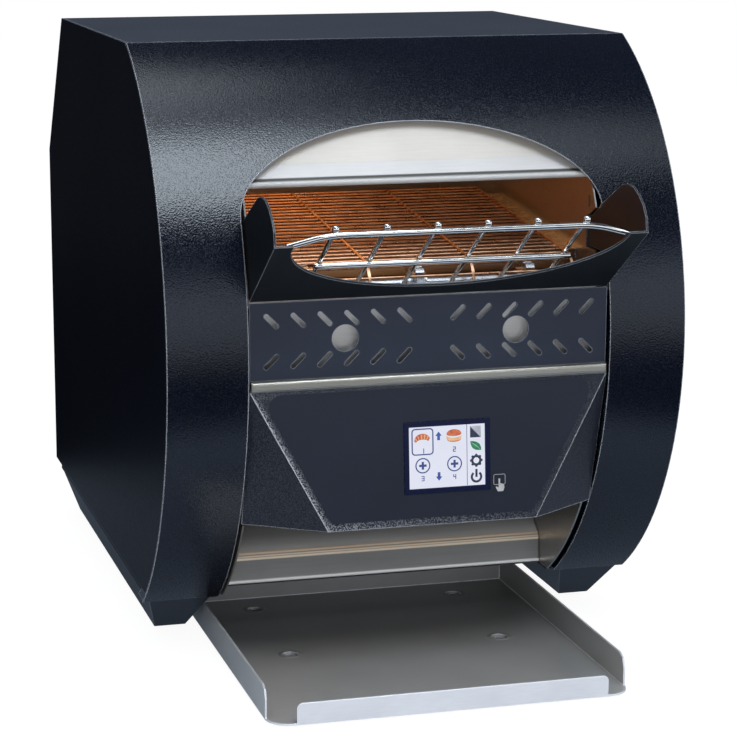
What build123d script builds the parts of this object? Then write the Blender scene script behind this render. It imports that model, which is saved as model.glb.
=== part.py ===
from build123d import *
import math
import os

# Countertop conveyor toaster: curved sheet-steel case on two skids, sloping feed rack in
# front, wire belt between radiant heaters, discharge slide, loose collection tray.
# Millimetres. +X is the user's right facing the back, -Y is the front, +Z is up.
# The origin is on the counter, under the middle of the toaster and its tray.

# ---------------------------------------------------------------- driving dimensions
opening_width = 258.0
wall_setback = 4.4
side_bay = 58.0
tray_reach = 85.0
belt_setback = 44.0
belt_span = 197.0
belt_rise = 20.0
drop_space = 132.0
rear_bay = 129.0
rear_projection = 8.0
exit_height = 73.6
control_height = 99.1
rail_height = 6.8
slot_panel_height = 53.5
throat_height = 51.7
arch_rise = 59.0
brow_height = 52.3
top_setback = 129.0
foot_setback = 100.0
lean_depth = 83.0
lean_height = 116.0
sheet = 1.2
front_sheet = 1.5
flange = 12.0
lining_depth = 10.0
top_lap = 4.0
gap = 0.4
running = 0.05

foot_height = 4.0
foot_radius = 7.0
skid_height = 30.0
skid_rake = 32.0
skid_inset = 5.0
skid_width = 45.0
skid_tread = 23.2
tread_inset = 26.4
skirt_gap = 10.0

face_lean = 8.2
corner_width = 53.0
corner_depth = 29.3
screen_width = 62.0
screen_height = 50.0
screen_offset = 10.4
screen_drop = 52.0
slot_length = 13.2
slot_width = 3.3
view_hole = 9.3

ramp_reach = 70.0
ramp_lift = 47.2
rack_wire = 1.6
rack_bar = 2.1
rack_ball = 2.5
rack_pitch = 34.3
rack_run = 39.0
rack_lift = 7.0

belt_side_gap = 12.6
belt_radius = 18.0
belt_wire = 1.0
wire_pitch = 9.0
shaft_radius = 5.0
bearing_radius = 8.0
heater_radius = 4.0
strip_end = 12.0
cavity_height = 92.0
hood_run = 30.0
slide_drop = 182.0
chain_pitch = 6.35
driven_teeth = 24
motor_teeth = 12
motor_drop = 104.0
motor_setback = 34.0

tray_side_gap = 8.0
tray_length = 271.0
tray_offset = -9.0
tray_wall = 22.5
fan_size = 80.0

# ---------------------------------------------------------------- width
opening_half = opening_width / 2
wall_in = opening_half - wall_setback
wall_out = wall_in + sheet
side_in = wall_out + side_bay
half_width = side_in + sheet
trim_half = opening_half - 1.5
control_half = opening_half - 1.0
belt_half = wall_in - belt_side_gap

# ---------------------------------------------------------------- depth
belt_reach = math.sqrt(belt_span ** 2 - belt_rise ** 2)
case_depth = belt_setback + belt_reach + drop_space + rear_bay
overall_depth = tray_reach + case_depth + rear_projection
tray_front_y = -overall_depth / 2
front_y = tray_front_y + tray_reach
rear_y = front_y + case_depth
panel_out = rear_y - sheet
panel_in = rear_y - 2 * sheet
top_rear_y = rear_y - lean_depth
top_front_y = front_y + top_setback
idler_y = front_y + belt_setback
drive_y = idler_y + belt_reach
cavity_rear_y = drive_y + drop_space
mouth_y = idler_y - 5.0
control_top_y = front_y + 2.7
control_bottom_y = control_top_y - face_lean
slot_y = front_y + 4.5
duct_y = slot_y + 14.3
ramp_bottom_y = front_y + 6.0
ramp_top_y = ramp_bottom_y - ramp_reach

# ---------------------------------------------------------------- height
skid_top = foot_height + skid_height
skirt_z = skid_top + skirt_gap
floor_top = skid_top + front_sheet
control_bottom = skid_top + exit_height
control_top = control_bottom + control_height
slot_bottom = control_top + rail_height
slot_top = slot_bottom + slot_panel_height
ramp_bottom = slot_top + 2.0
ramp_top = ramp_bottom + ramp_lift
ramp_slope = ramp_lift / ramp_reach
scoop_half = trim_half * 0.9
idler_z = ramp_bottom - 1.0
drive_z = idler_z + belt_rise
arch_z = ramp_bottom + throat_height
case_height = arch_z + arch_rise + brow_height
kink_z = case_height - lean_height

# ---------------------------------------------------------------- tied details
belt_angle = math.degrees(math.asin(belt_rise / belt_span))
wheel_tip = belt_radius - belt_wire - gap
driven_radius = chain_pitch / (2 * math.sin(math.pi / driven_teeth))
motor_radius = chain_pitch / (2 * math.sin(math.pi / motor_teeth))
chain_x = wall_out + 5.8
motor_y = drive_y + motor_setback
motor_z = drive_z - motor_drop
skid_x = half_width - tread_inset
tray_half = half_width - skid_inset - skid_width - tray_side_gap
fan_x = -half_width * 0.43
fan_z = skirt_z + fan_size / 2 + 36.0
cord_x = half_width - 55.0
cord_z = skirt_z + 26.0


def bow_radius():
    """Radius of the front, through its top and foot edges and tangent to the front plane."""
    low, high = 100.0, 4000.0
    for _ in range(60):
        radius = (low + high) / 2
        rise = math.sqrt(max(2 * top_setback * radius - top_setback ** 2, 0))
        rise += math.sqrt(max(2 * foot_setback * radius - foot_setback ** 2, 0))
        if rise > case_height - skid_top:
            high = radius
        else:
            low = radius
    return radius


front_radius = bow_radius()
arc_y = front_y + front_radius
arc_z = case_height - math.sqrt(2 * top_setback * front_radius - top_setback ** 2)


# ================================================================ small shapes
def slab(x0, x1, y0, y1, z0, z1):
    """Block between two opposite corners."""
    size = Box(x1 - x0, y1 - y0, z1 - z0)
    return Pos((x0 + x1) / 2, (y0 + y1) / 2, (z0 + z1) / 2) * size


def rod(start, end, radius):
    """Round bar from one point to another."""
    a = Vector(*start)
    way = Vector(*end) - a
    return Plane(origin=a, z_dir=way) * Pos(0, 0, way.length / 2) * Cylinder(radius, way.length)


def outline(points):
    """Side outline from (y, z) points."""
    return make_face(Polyline(*points, close=True))


def across(shape, x0, x1):
    """Side outline carried across the width from x0 to x1."""
    return extrude(Plane.YZ.offset(x0) * shape, x1 - x0)


def both(solid):
    """A left and a right copy."""
    return [solid, mirror(solid, Plane.YZ)]


def folded(points, thick):
    """Outline of a sheet that follows the points, its thickness on the left of the way."""
    shifted = []
    last = len(points) - 1
    for i, (y, z) in enumerate(points):
        normals = []
        for j in (i - 1, i):
            if 0 <= j < last:
                dy = points[j + 1][0] - points[j][0]
                dz = points[j + 1][1] - points[j][1]
                size = math.hypot(dy, dz)
                normals.append((-dz / size, dy / size))
        ny = sum(n[0] for n in normals)
        nz = sum(n[1] for n in normals)
        scale = thick * len(normals) / (ny ** 2 + nz ** 2)
        shifted.append((y + ny * scale, z + nz * scale))
    return outline(points + shifted[::-1])


def disc(y, z, radius):
    """Round side outline."""
    return Pos(y, z) * Circle(radius)


def pin_x(x0, x1, y, z, radius):
    """Round bar lying across the toaster."""
    return across(disc(y, z, radius), x0, x1)


def group(solids):
    """Several separate solids kept in one node."""
    return Compound(children=list(solids))


def case_outline(front_inset, edge_inset, bottom):
    """Side view of the case: flat top, leaning upper back, upright back, bowed front."""
    top = case_height - edge_inset
    back = rear_y - edge_inset
    lean = math.atan2(case_height - kink_z, rear_y - top_rear_y)
    shift = edge_inset * math.tan((math.pi / 2 - lean) / 2)
    slide = edge_inset * math.tan(lean / 2)
    body = outline([
        (front_y - 5, bottom), (back, bottom), (back, kink_z - shift),
        (top_rear_y - slide, top), (front_y - 5, top),
    ])
    tall = 3 * case_height
    nose = Pos(arc_y - tall / 2, arc_z) * Rectangle(tall, tall)
    return body - (nose - disc(arc_y, arc_z, front_radius - front_inset))


def front_skin(outer_inset, inner_inset, bottom):
    """Side view of a curved strip concentric with the bowed front."""
    ring = disc(arc_y, arc_z, front_radius - outer_inset) - disc(arc_y, arc_z, front_radius - inner_inset)
    middle = (case_height + bottom) / 2
    reach = arc_y - front_y + 20
    window = Pos(arc_y - reach / 2, middle) * Rectangle(reach, case_height - bottom)
    return ring & window


def belt_top(y):
    """Height of the wire centres of the upper run above a point in the depth."""
    start = idler_y - belt_radius * math.sin(math.radians(belt_angle))
    level = idler_z + belt_radius * math.cos(math.radians(belt_angle))
    return level + (y - start) * math.tan(math.radians(belt_angle))


# ================================================================ base
def make_base_pan():
    pan = slab(-side_in + 3, side_in - 3, top_skirt_front(), rear_y - sheet, skid_top, floor_top)
    for side in both(slab(side_in - 4.5, side_in - 3, top_skirt_front() + 14, panel_in, skid_top, skirt_z)):
        pan += side
    front_notch = slab(-wall_in, wall_in, front_y, slide_lip()[0] + 4, skid_top - 1, floor_top + 1)
    pan -= front_notch
    for y in foot_rows():
        for x in (-skid_x, skid_x):
            pan -= Pos(x, y, skid_top) * Cylinder(foot_radius + 2, 8)
    return pan


def top_skirt_front():
    """Depth of the front panel's lower edge, inside the sheet."""
    return arc_y - math.sqrt((front_radius - front_sheet - gap) ** 2 - (arc_z - skid_top) ** 2)


def foot_rows():
    return (top_skirt_front() + 52, rear_y - 58)


def skid_block(inset, lower):
    """Tapered runner, narrower and shorter at the bottom."""
    front = top_skirt_front() - 2
    middle = (front + rear_y) / 2
    length = rear_y - front - 2 * inset
    top = Pos(half_width - skid_inset - skid_width / 2, middle, skid_top)
    top = top * Rectangle(skid_width - 2 * inset, length)
    low = Pos(skid_x, middle, foot_height + lower)
    low = low * Rectangle(skid_tread - 2 * inset, length - 2 * skid_rake)
    return loft([low, top])


def make_skid():
    hollow = skid_block(front_sheet, front_sheet)
    skid = skid_block(0, 0) - hollow
    for y in foot_rows():
        skid -= Pos(skid_x, y, foot_height) * Cylinder(2.6, 10)
    return skid


def make_rubber_feet():
    feet = []
    for x in (-skid_x, skid_x):
        for y in foot_rows():
            foot = Pos(x, y, foot_height / 2) * Cylinder(foot_radius, foot_height)
            foot = chamfer(foot.edges().group_by(Axis.Z)[0], 1.0)
            stem = Pos(x, y, foot_height + 1.8) * Cylinder(2.4, 3.8)
            barb = Pos(x, y, foot_height + front_sheet + 1.2) * Cylinder(3.3, 1.8)
            feet.append(foot + stem + barb)
    return group(feet)


# ================================================================ case sheets
def make_front_panel():
    """Bowed sheet with the arched opening, side flanges, opening linings and a lap for the top."""
    bottom = skid_top
    front = front_y - 9
    lap_end = top_front_y + top_lap
    doorway = Pos(0, (arch_z + bottom - 9) / 2) * Rectangle(opening_width, arch_z - bottom + 9)
    doorway += Pos(0, arch_z) * Ellipse(opening_half, arch_rise)
    panel = across(front_skin(0, front_sheet, bottom), -half_width, half_width)
    panel -= extrude(Plane.XZ.offset(-arc_y) * doorway, arc_y - front)
    edge = across(front_skin(front_sheet, flange, bottom), side_in - front_sheet, side_in)
    edge -= slab(0, half_width, lap_end, rear_y, case_height - 3, case_height + 1)
    lining = across(front_skin(front_sheet, lining_depth, bottom), opening_half, opening_half + sheet)
    lining -= slab(0, half_width, front, arc_y, arch_z - 6, case_height + 1)
    lining -= slab(0, half_width, front, arc_y, bottom, floor_top + gap)
    for part in both(edge) + both(lining):
        panel += part
    lap = slab(-half_width, half_width, top_front_y, lap_end, case_height - front_sheet, case_height)
    return panel + lap


def make_side_panel():
    skin = case_outline(front_sheet + gap, 0, skirt_z)
    panel = across(skin, side_in, half_width)
    rim = skin - case_outline(0, sheet, skirt_z + sheet)
    above = Pos(rear_y, kink_z + 2 + case_height / 2) * Rectangle(4 * case_depth, case_height)
    shelf = case_outline(front_sheet + gap, sheet, skirt_z) - case_outline(0, 2 * sheet, skirt_z)
    shelf = shelf & (Pos(0, 3 * gap) * above)
    edges = across((rim - above) + shelf, half_width - flange, side_in)
    nose = across(front_skin(0, flange + 2, skirt_z), half_width - flange - 1, side_in)
    panel += edges - nose
    lap_end = top_front_y + top_lap + gap
    panel -= slab(0, half_width + 1, front_y, lap_end, case_height - front_sheet - gap, case_height + 1)
    for hole in rear_holes():
        panel -= hole
    return panel


def make_top_cover():
    low = kink_z - 40
    ring = case_outline(-9, 0, low) - case_outline(-19, sheet, low)
    cover = across(ring, -side_in + gap, side_in - gap)
    cover -= slab(-half_width, half_width, front_y - 50, top_front_y + top_lap + 0.8, low, case_height + 1)
    cover -= slab(-half_width, half_width, rear_y - 9, rear_y + 9, low - 1, kink_z + 2)
    lean = math.degrees(math.atan2(case_height - kink_z, rear_y - top_rear_y))
    middle = Pos(0, (top_rear_y + rear_y) / 2, (case_height + kink_z) / 2) * Rot(-lean, 0, 0)
    for row in range(3):
        for column in range(5):
            vent = middle * Pos((column - 2) * 56, (row - 1) * 20, 0) * Box(40, 5, 12)
            cover -= vent
    return cover


def rear_holes():
    """Screw holes through the rear panel and the side flanges behind it."""
    x = half_width - flange / 2 - 1.0
    holes = []
    for z in rear_screw_rows():
        for side in (-x, x):
            holes.append(rod((side, rear_y - 9, z), (side, rear_y + 9, z), 2.0))
    return holes


def rear_screw_rows():
    return (skirt_z + 14, (skirt_z + kink_z) / 2, kink_z - 16)


def make_rear_panel():
    panel = slab(-side_in, side_in, panel_in, panel_out, floor_top, kink_z - 1)
    for hole in rear_holes():
        panel -= hole
    panel -= rod((fan_x, panel_in - 5, fan_z), (fan_x, rear_y, fan_z), fan_size / 2 - 2)
    panel -= rod((cord_x, panel_in - 5, cord_z), (cord_x, rear_y, cord_z), 8.0)
    inner_x = half_width - flange - gap
    notches = both(slab(inner_x, half_width, panel_in - 1, rear_y, floor_top, skirt_z + sheet + gap))
    for notch in notches:
        panel -= notch
    for row in range(6):
        z = fan_z - 26 + row * 13
        panel -= slab(half_width * 0.12, half_width * 0.58, panel_in - 1, rear_y, z - 2, z + 2)
    return panel


def make_rear_screws():
    x = half_width - flange / 2 - 1.0
    screws = []
    for z in rear_screw_rows():
        for side in (-x, x):
            head = rod((side, rear_y, z), (side, rear_y + 2.2, z), 3.8)
            head = fillet(head.edges().group_by(Axis.Y)[-1], 1.0)
            cross = Pos(side, rear_y + 2.2, z) * (Box(4.4, 1.6, 0.9) + Box(0.9, 1.6, 4.4))
            screws.append(head - cross + rod((side, rear_y - 7, z), (side, rear_y, z), 1.8))
    return group(screws)


# ================================================================ chassis
def make_inner_wall():
    """Right stainless wall; the left one is its mirror image apart from the drive."""
    skin = case_outline(front_sheet + gap, 2 * sheet, floor_top)
    low = control_bottom - 3
    mouth = duct_y + 0.8 + sheet
    step = outline([
        (front_y - 20, low), (mouth_y, low), (mouth_y, slot_bottom - 5), (mouth, slot_bottom - 5),
        (mouth, ramp_bottom + 21), (mouth_y, ramp_bottom + 21), (mouth_y, arch_z - 9.5),
        (mouth_y - 26, arch_z + 4), (front_y - 20, arch_z + 30),
    ])
    back = Pos(rear_y, case_height / 2) * Rectangle(2 * (rear_y - cavity_rear_y - 6), 2 * case_height)
    wall = across(skin - step - back, wall_in, wall_out)
    for y, z in shaft_centres():
        wall -= pin_x(wall_in - 1, wall_out + 1, y, z, bearing_radius)
    for y, z in upper_heater_centres() + lower_heater_centres():
        wall -= pin_x(wall_in - 1, wall_out + 1, y, z, heater_radius + gap)
    for y, z in wall_slots():
        wall -= slab(wall_in - 1, wall_out + 1, y - 1.2, y + 1.2, z - 4.5, z + 4.5)
    return wall


def wall_slots():
    return ((mouth_y - 4.5, arch_z + 2), (mouth_y + 131, arch_z + 6))


def shaft_centres():
    return ((idler_y, idler_z), (drive_y, drive_z))


def make_hood_reflector():
    edge_y = mouth_y + 0.5
    edge_z = arch_z + 21.0
    roll = disc(edge_y, edge_z, 2.5) - disc(edge_y, edge_z, 1.6)
    end_y = mouth_y + hood_run
    path = [
        (edge_y + 1.2, edge_z + 1.6), (edge_y + 10, edge_z + 12), (end_y, ceiling(end_y)),
        (end_y + 8, ceiling(end_y + 8)),
    ]
    return across(folded(path, sheet) + roll, -wall_in, wall_in)


def ceiling(y):
    return belt_top(y) + cavity_height


def make_upper_reflector():
    y0 = mouth_y + hood_run + gap
    y1 = cavity_rear_y - 0.2
    skin = folded([(y1, ceiling(y1)), (y0, ceiling(y0))], sheet)
    return across(skin, -wall_in, wall_in)


def make_cavity_rear_wall():
    low = slide_top_z() + 1.5
    path = [(cavity_rear_y + sheet, ceiling(cavity_rear_y) + 4), (cavity_rear_y + sheet, low)]
    return across(folded(path, -sheet), -wall_in, wall_in)


def slide_lip():
    """Front edge of the discharge slide."""
    return (front_y + 118.0, skid_top + 2.0)


def slide_top_z():
    return slide_lip()[1] + slide_drop - 2


def make_discharge_slide():
    lip_y, lip_z = slide_lip()
    path = [
        (lip_y, lip_z), (lip_y + 9.5, lip_z + 5.6), (lip_y + 12.8, lip_z + 8.8),
        (lip_y + 14.2, lip_z + 13), (lip_y + 16.5, lip_z + 31), (lip_y + 20, lip_z + 38),
        (lip_y + 27, lip_z + 44), (cavity_rear_y, slide_top_z()),
    ]
    return across(folded(path, -sheet), -wall_in, wall_in)


def make_lower_reflector():
    drop = 2 * belt_radius + 14.0
    y0 = idler_y + 4
    y1 = drive_y
    path = [
        (y0, belt_top(y0) - drop + 10), (y0 + 6, belt_top(y0) - drop), (y1, belt_top(y1) - drop),
        (y1 + 8, belt_top(y1) - drop + 10),
    ]
    return across(folded(path, -sheet), -wall_in, wall_in)


def make_heat_shield():
    upper_y = duct_y + 0.8
    path = [
        (mouth_y, control_bottom + 2), (mouth_y, slot_bottom - 5 - sheet),
        (upper_y, slot_bottom - 5 - sheet), (upper_y, slot_top - 1),
    ]
    shield = across(folded(path, -sheet), -wall_in, wall_in)
    return shield


# ================================================================ heaters
def upper_heater_centres():
    centres = []
    for i in range(5):
        y = mouth_y + 66 + i * (cavity_rear_y - mouth_y - 130) / 4
        centres.append((y, ceiling(y) - 16))
    return centres


def lower_heater_centres():
    """Evenly spaced inside the belt, the ends of their strips clear of the drive chain."""
    margin = driven_radius + 3.0 + strip_end
    centres = []
    for i in range(4):
        y = idler_y + margin + i * (belt_reach - 2 * margin) / 3
        centres.append((y, belt_top(y) - belt_radius / math.cos(math.radians(belt_angle))))
    return centres


def heater_rods(centres):
    rods = []
    for y, z in centres:
        body = pin_x(-wall_out - 12, wall_out + 12, y, z, heater_radius)
        ends = both(pin_x(wall_out + 12, wall_out + 20, y, z, 1.6))
        tabs = both(slab(wall_out + 18, wall_out + 27, y - 0.5, y + 0.5, z - 3, z + 3))
        rods.append(body + ends + tabs)
    return group(rods)


def heater_strip(centres):
    """Ceramic strip outside the chassis wall that carries one row of heater ends."""
    first, last = centres[0], centres[-1]
    tilt = math.degrees(math.atan2(last[1] - first[1], last[0] - first[0]))
    length = math.hypot(last[0] - first[0], last[1] - first[1]) + 2 * strip_end
    middle = ((first[0] + last[0]) / 2, (first[1] + last[1]) / 2)
    bar = Pos(*middle) * Rot(0, 0, tilt) * RectangleRounded(length, 15, 3)
    strip = across(bar, wall_out, wall_out + 10)
    for y, z in centres:
        strip -= pin_x(wall_out - 1, wall_out + 11, y, z, heater_radius + running)
    return strip


def make_heater_holders():
    return group(both(heater_strip(upper_heater_centres())) + both(heater_strip(lower_heater_centres())))


# ================================================================ conveyor
def belt_loop(radius):
    """Side view of the belt path at a given distance from the shafts."""
    middle = Pos((idler_y + drive_y) / 2, (idler_z + drive_z) / 2)
    return middle * Rot(0, 0, belt_angle) * SlotCenterToCenter(belt_span, 2 * radius)


def loop_points(first, second, r1, r2, count):
    """Evenly spaced points along a belt or chain round two wheels, in (y, z)."""
    dy = second[0] - first[0]
    dz = second[1] - first[1]
    span = math.hypot(dy, dz)
    base = math.atan2(dz, dy)
    lean = math.asin((r1 - r2) / span)
    straight = span * math.cos(lean)
    arc2 = r2 * (math.pi - 2 * lean)
    arc1 = r1 * (math.pi + 2 * lean)
    total = 2 * straight + arc1 + arc2
    points = []
    for i in range(count):
        s = total * i / count
        start = base + math.pi / 2 - lean
        if s < straight:
            y = first[0] + r1 * math.cos(start) + s * math.cos(start - math.pi / 2)
            z = first[1] + r1 * math.sin(start) + s * math.sin(start - math.pi / 2)
        elif s < straight + arc2:
            turn = start - (s - straight) / r2
            y = second[0] + r2 * math.cos(turn)
            z = second[1] + r2 * math.sin(turn)
        elif s < 2 * straight + arc2:
            left = s - straight - arc2
            end = base - math.pi / 2 + lean
            y = second[0] + r2 * math.cos(end) + left * math.cos(end - math.pi / 2)
            z = second[1] + r2 * math.sin(end) + left * math.sin(end - math.pi / 2)
        else:
            end = base - math.pi / 2 + lean
            turn = end - (s - 2 * straight - arc2) / r1
            y = first[0] + r1 * math.cos(turn)
            z = first[1] + r1 * math.sin(turn)
        points.append((y, z))
    return points


def make_conveyor_belt():
    first, second = shaft_centres()
    length = 2 * belt_span + 2 * math.pi * belt_radius
    count = round(length / wire_pitch)
    ring = belt_loop(belt_radius + 1.1) - belt_loop(belt_radius - 1.1)
    rows = [-belt_half + 1, -belt_half / 3, belt_half / 3, belt_half - 1]
    belt = across(ring, rows[0] - 1, rows[0] + 1)
    for x in rows[1:]:
        belt += across(ring, x - 1, x + 1)
    wires = []
    for y, z in loop_points(first, second, belt_radius, belt_radius, count):
        wires.append(pin_x(-belt_half + 0.5, belt_half - 0.5, y, z, belt_wire))
    return belt + wires


def belt_wheel(y, z, x):
    """Toothed belt wheel with a hub, a little inside the belt wires."""
    wheel = disc(y, z, wheel_tip)
    teeth = 12
    for i in range(teeth):
        turn = 2 * math.pi * i / teeth
        gullet = disc(y + wheel_tip * math.cos(turn), z + wheel_tip * math.sin(turn), 2.2)
        wheel -= gullet
    body = across(wheel, x - 3, x + 3) + pin_x(x - 7, x + 7, y, z, shaft_radius + 3.5)
    return body - pin_x(x - 8, x + 8, y, z, shaft_radius + running / 2)


def wheel_rows():
    return (-belt_half * 0.72, 0, belt_half * 0.72)


def belt_wheels(centre):
    return group([belt_wheel(centre[0], centre[1], x) for x in wheel_rows()])


def make_idler_shaft():
    y, z = shaft_centres()[0]
    shaft = pin_x(-wall_out - 8, wall_out + 8, y, z, shaft_radius)
    return chamfer(shaft.edges().filter_by(GeomType.CIRCLE), 0.6)


def make_drive_shaft():
    y, z = shaft_centres()[1]
    shaft = pin_x(-wall_out - 8, wall_out + 14, y, z, shaft_radius)
    return chamfer(shaft.edges().filter_by(GeomType.CIRCLE), 0.6)


def make_shaft_bearings():
    """Flanged bushes in the chassis walls."""
    bushes = []
    for y, z in shaft_centres():
        bush = pin_x(wall_in - 2, wall_out, y, z, bearing_radius)
        bush += pin_x(wall_out, wall_out + 2, y, z, bearing_radius + 3)
        bush -= pin_x(wall_in - 3, wall_out + 3, y, z, shaft_radius + running)
        bushes += both(bush)
    return group(bushes)


def collar(y, z, x0, x1):
    ring = pin_x(x0, x1, y, z, shaft_radius + 3)
    return ring - pin_x(x0 - 1, x1 + 1, y, z, shaft_radius + running / 2)


def make_idler_collars():
    y, z = shaft_centres()[0]
    return group(both(collar(y, z, wall_out + 2.3, wall_out + 6.3)))


def make_drive_collars():
    y, z = shaft_centres()[1]
    outer = mirror(collar(y, z, wall_out + 2.3, wall_out + 6.3), Plane.YZ)
    inner = collar(y, z, wall_in - 6.3, wall_in - 2.3)
    return group([outer, inner])


def make_belt_rails():
    """Two angle strips on the walls that keep the belt edges level."""
    y0 = idler_y + 14
    y1 = drive_y - 14
    drop = belt_wire / math.cos(math.radians(belt_angle)) + 0.8
    level = [(y1, belt_top(y1) - drop), (y0, belt_top(y0) - drop)]
    shelf = across(folded(level, sheet), belt_half - 5, wall_in)
    web = folded([(y1, belt_top(y1) - drop - 7), (y0, belt_top(y0) - drop - 7)], -6.6)
    return group(both(shelf + across(web, wall_in - sheet, wall_in)))


# ================================================================ drive train
def toothed(y, z, pitch_radius, teeth, x0, x1):
    """Chain sprocket disc, its teeth a little short of the rollers."""
    tip = pitch_radius - 2.1
    shape = disc(y, z, tip)
    for i in range(teeth):
        turn = 2 * math.pi * (i + 0.5) / teeth
        shape -= disc(y + tip * math.cos(turn), z + tip * math.sin(turn), 1.3)
    return across(shape, x0, x1)


def make_driven_sprocket():
    y, z = shaft_centres()[1]
    wheel = toothed(y, z, driven_radius, driven_teeth, chain_x - 0.7, chain_x + 0.7)
    wheel += pin_x(chain_x + 0.7, chain_x + 6, y, z, shaft_radius + 4)
    for i in range(5):
        turn = 2 * math.pi * i / 5
        hole = (y + 14 * math.cos(turn), z + 14 * math.sin(turn))
        wheel -= pin_x(chain_x - 2, chain_x + 2, hole[0], hole[1], 3.2)
    return wheel - pin_x(chain_x - 9, chain_x + 9, y, z, shaft_radius + running / 2)


def make_motor_sprocket():
    wheel = toothed(motor_y, motor_z, motor_radius, motor_teeth, chain_x - 0.7, chain_x + 0.7)
    return wheel + pin_x(chain_x - 2.5, chain_x + 16, motor_y, motor_z, 4.0)


def make_drive_chain():
    first = (motor_y, motor_z)
    second = shaft_centres()[1]
    span = math.hypot(second[0] - first[0], second[1] - first[1])
    length = 2 * span + math.pi * (driven_radius + motor_radius)
    count = round(length / chain_pitch)

    def loop(grow):
        """Side view round both sprockets, larger by grow."""
        points = loop_points(first, second, motor_radius + grow, driven_radius + grow, 60)
        return outline(points)

    ring = loop(1.9) - loop(-1.9)
    chain = across(ring, chain_x - 2.3, chain_x - 1.2) + across(ring, chain_x + 1.2, chain_x + 2.3)
    rollers = []
    for y, z in loop_points(first, second, motor_radius, driven_radius, count):
        rollers.append(pin_x(chain_x - 2.6, chain_x + 2.6, y, z, 1.5))
    return chain + rollers


def make_motor_bracket():
    """Bridge that stands off the chassis wall and carries the gear motor."""
    x0 = chain_x + 4.5
    x1 = x0 + 2.0
    plate = slab(x0, x1, motor_y - 34, motor_y + 56, motor_z - 30, motor_z + 30)
    feet = slab(wall_out, x0, motor_y - 34, motor_y - 32, motor_z - 30, motor_z + 30)
    feet += slab(wall_out, x0, motor_y + 54, motor_y + 56, motor_z - 30, motor_z + 30)
    return plate + feet - pin_x(x0 - 1, x1 + 1, motor_y, motor_z, 9)


def make_gear_motor():
    x0 = chain_x + 6.5
    x1 = half_width - 9
    box = slab(x0, x0 + 22, motor_y - 26, motor_y + 50, motor_z - 25, motor_z + 25)
    box = fillet(box.edges().filter_by(Axis.X), 6)
    can = pin_x(x0 + 22, x1, motor_y + 22, motor_z, 22)
    cap = pin_x(x1 - 4, x1, motor_y + 22, motor_z, 23.5)
    nose = pin_x(x0 - 2, x0, motor_y, motor_z, 8.5)
    bore = pin_x(x0 - 3, x0 + 14, motor_y, motor_z, 4.0 + running)
    return box + can + cap + nose - bore


# ================================================================ control head
def control_block(inset):
    """Head with a leaning face and two corner facets that widen downwards."""
    back = mouth_y if inset == 0 else mouth_y + 9
    profile = outline([
        (control_top_y + inset, control_top - inset), (control_bottom_y + inset, control_bottom + inset),
        (back, control_bottom + inset), (back, control_top - inset),
    ])
    block = across(profile, -control_half + inset, control_half - inset)
    top = Vector(control_half, control_top_y, control_top)
    front = Vector((control_half - corner_width), control_bottom_y, control_bottom)
    side = Vector(control_half, (front_y + corner_depth), control_bottom)
    normal = (front - top).cross(side - top).normalized()
    if normal.Y > 0:
        normal = -normal
    cutter = Plane(origin=top - normal * inset, z_dir=normal)
    wedge = cutter * Pos(0, 0, 200) * Box(600, 600, 400)
    for piece in both(wedge):
        block -= piece
    return block


def face_plane():
    """Plane of the control face: x to the right, y up the face, z towards the user."""
    rise = Vector(0, control_top_y - control_bottom_y, control_top - control_bottom)
    return Plane(origin=(0, control_top_y, control_top), x_dir=(1, 0, 0), z_dir=Vector(1, 0, 0).cross(rise))


def make_control_housing():
    shell = control_block(0) - control_block(front_sheet)
    x, y = screen_offset, -screen_drop
    shell -= face_plane() * Pos(x, y, 0) * Box(screen_width - 3.4, screen_height - 3.4, 12)
    return shell


def make_overlay_film():
    height = control_top - control_bottom
    low = -height * 0.87
    high = -height * 0.07
    corners = [
        (-control_half * 0.93, high), (control_half * 0.93, high),
        ((control_half - corner_width) * 0.97, low), (-(control_half - corner_width) * 0.97, low),
    ]
    film = make_face(Polyline(*corners, close=True))
    film = fillet(film.vertices().group_by(Axis.Y)[-1], 9)
    x, y = screen_offset, -screen_drop
    film -= Pos(x, y) * Rectangle(screen_width + gap, screen_height + gap)
    return extrude(face_plane() * film, 0.35)


def make_screen_bezel():
    x, y = screen_offset, -screen_drop
    rim = Box(screen_width, screen_height, 1.1) - Box(screen_width - 7, screen_height - 7, 3)
    return face_plane() * Pos(x, y, 0.55) * rim


def make_touch_screen():
    x, y = screen_offset, -screen_drop
    glass = Pos(x, y, -2.95) * Box(screen_width - 3.8, screen_height - 3.8, 5.9)
    return face_plane() * glass


def make_control_board():
    x, y = screen_offset, -screen_drop
    board = Pos(x, y, -7.0) * Box(110, 66, 1.6)
    spacer = Pos(x, y, -6.05) * Box(screen_width - 12, screen_height - 12, 0.3)
    chips = Pos(x - 30, y + 10, -9.4) * Box(18, 18, 3.2)
    chips += Pos(x + 8, y - 8, -10.3) * Box(26, 12, 5.0)
    chips += Pos(x + 40, y + 14, -11.8) * Box(14, 28, 8.0)
    return face_plane() * (board + spacer + chips)


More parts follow.
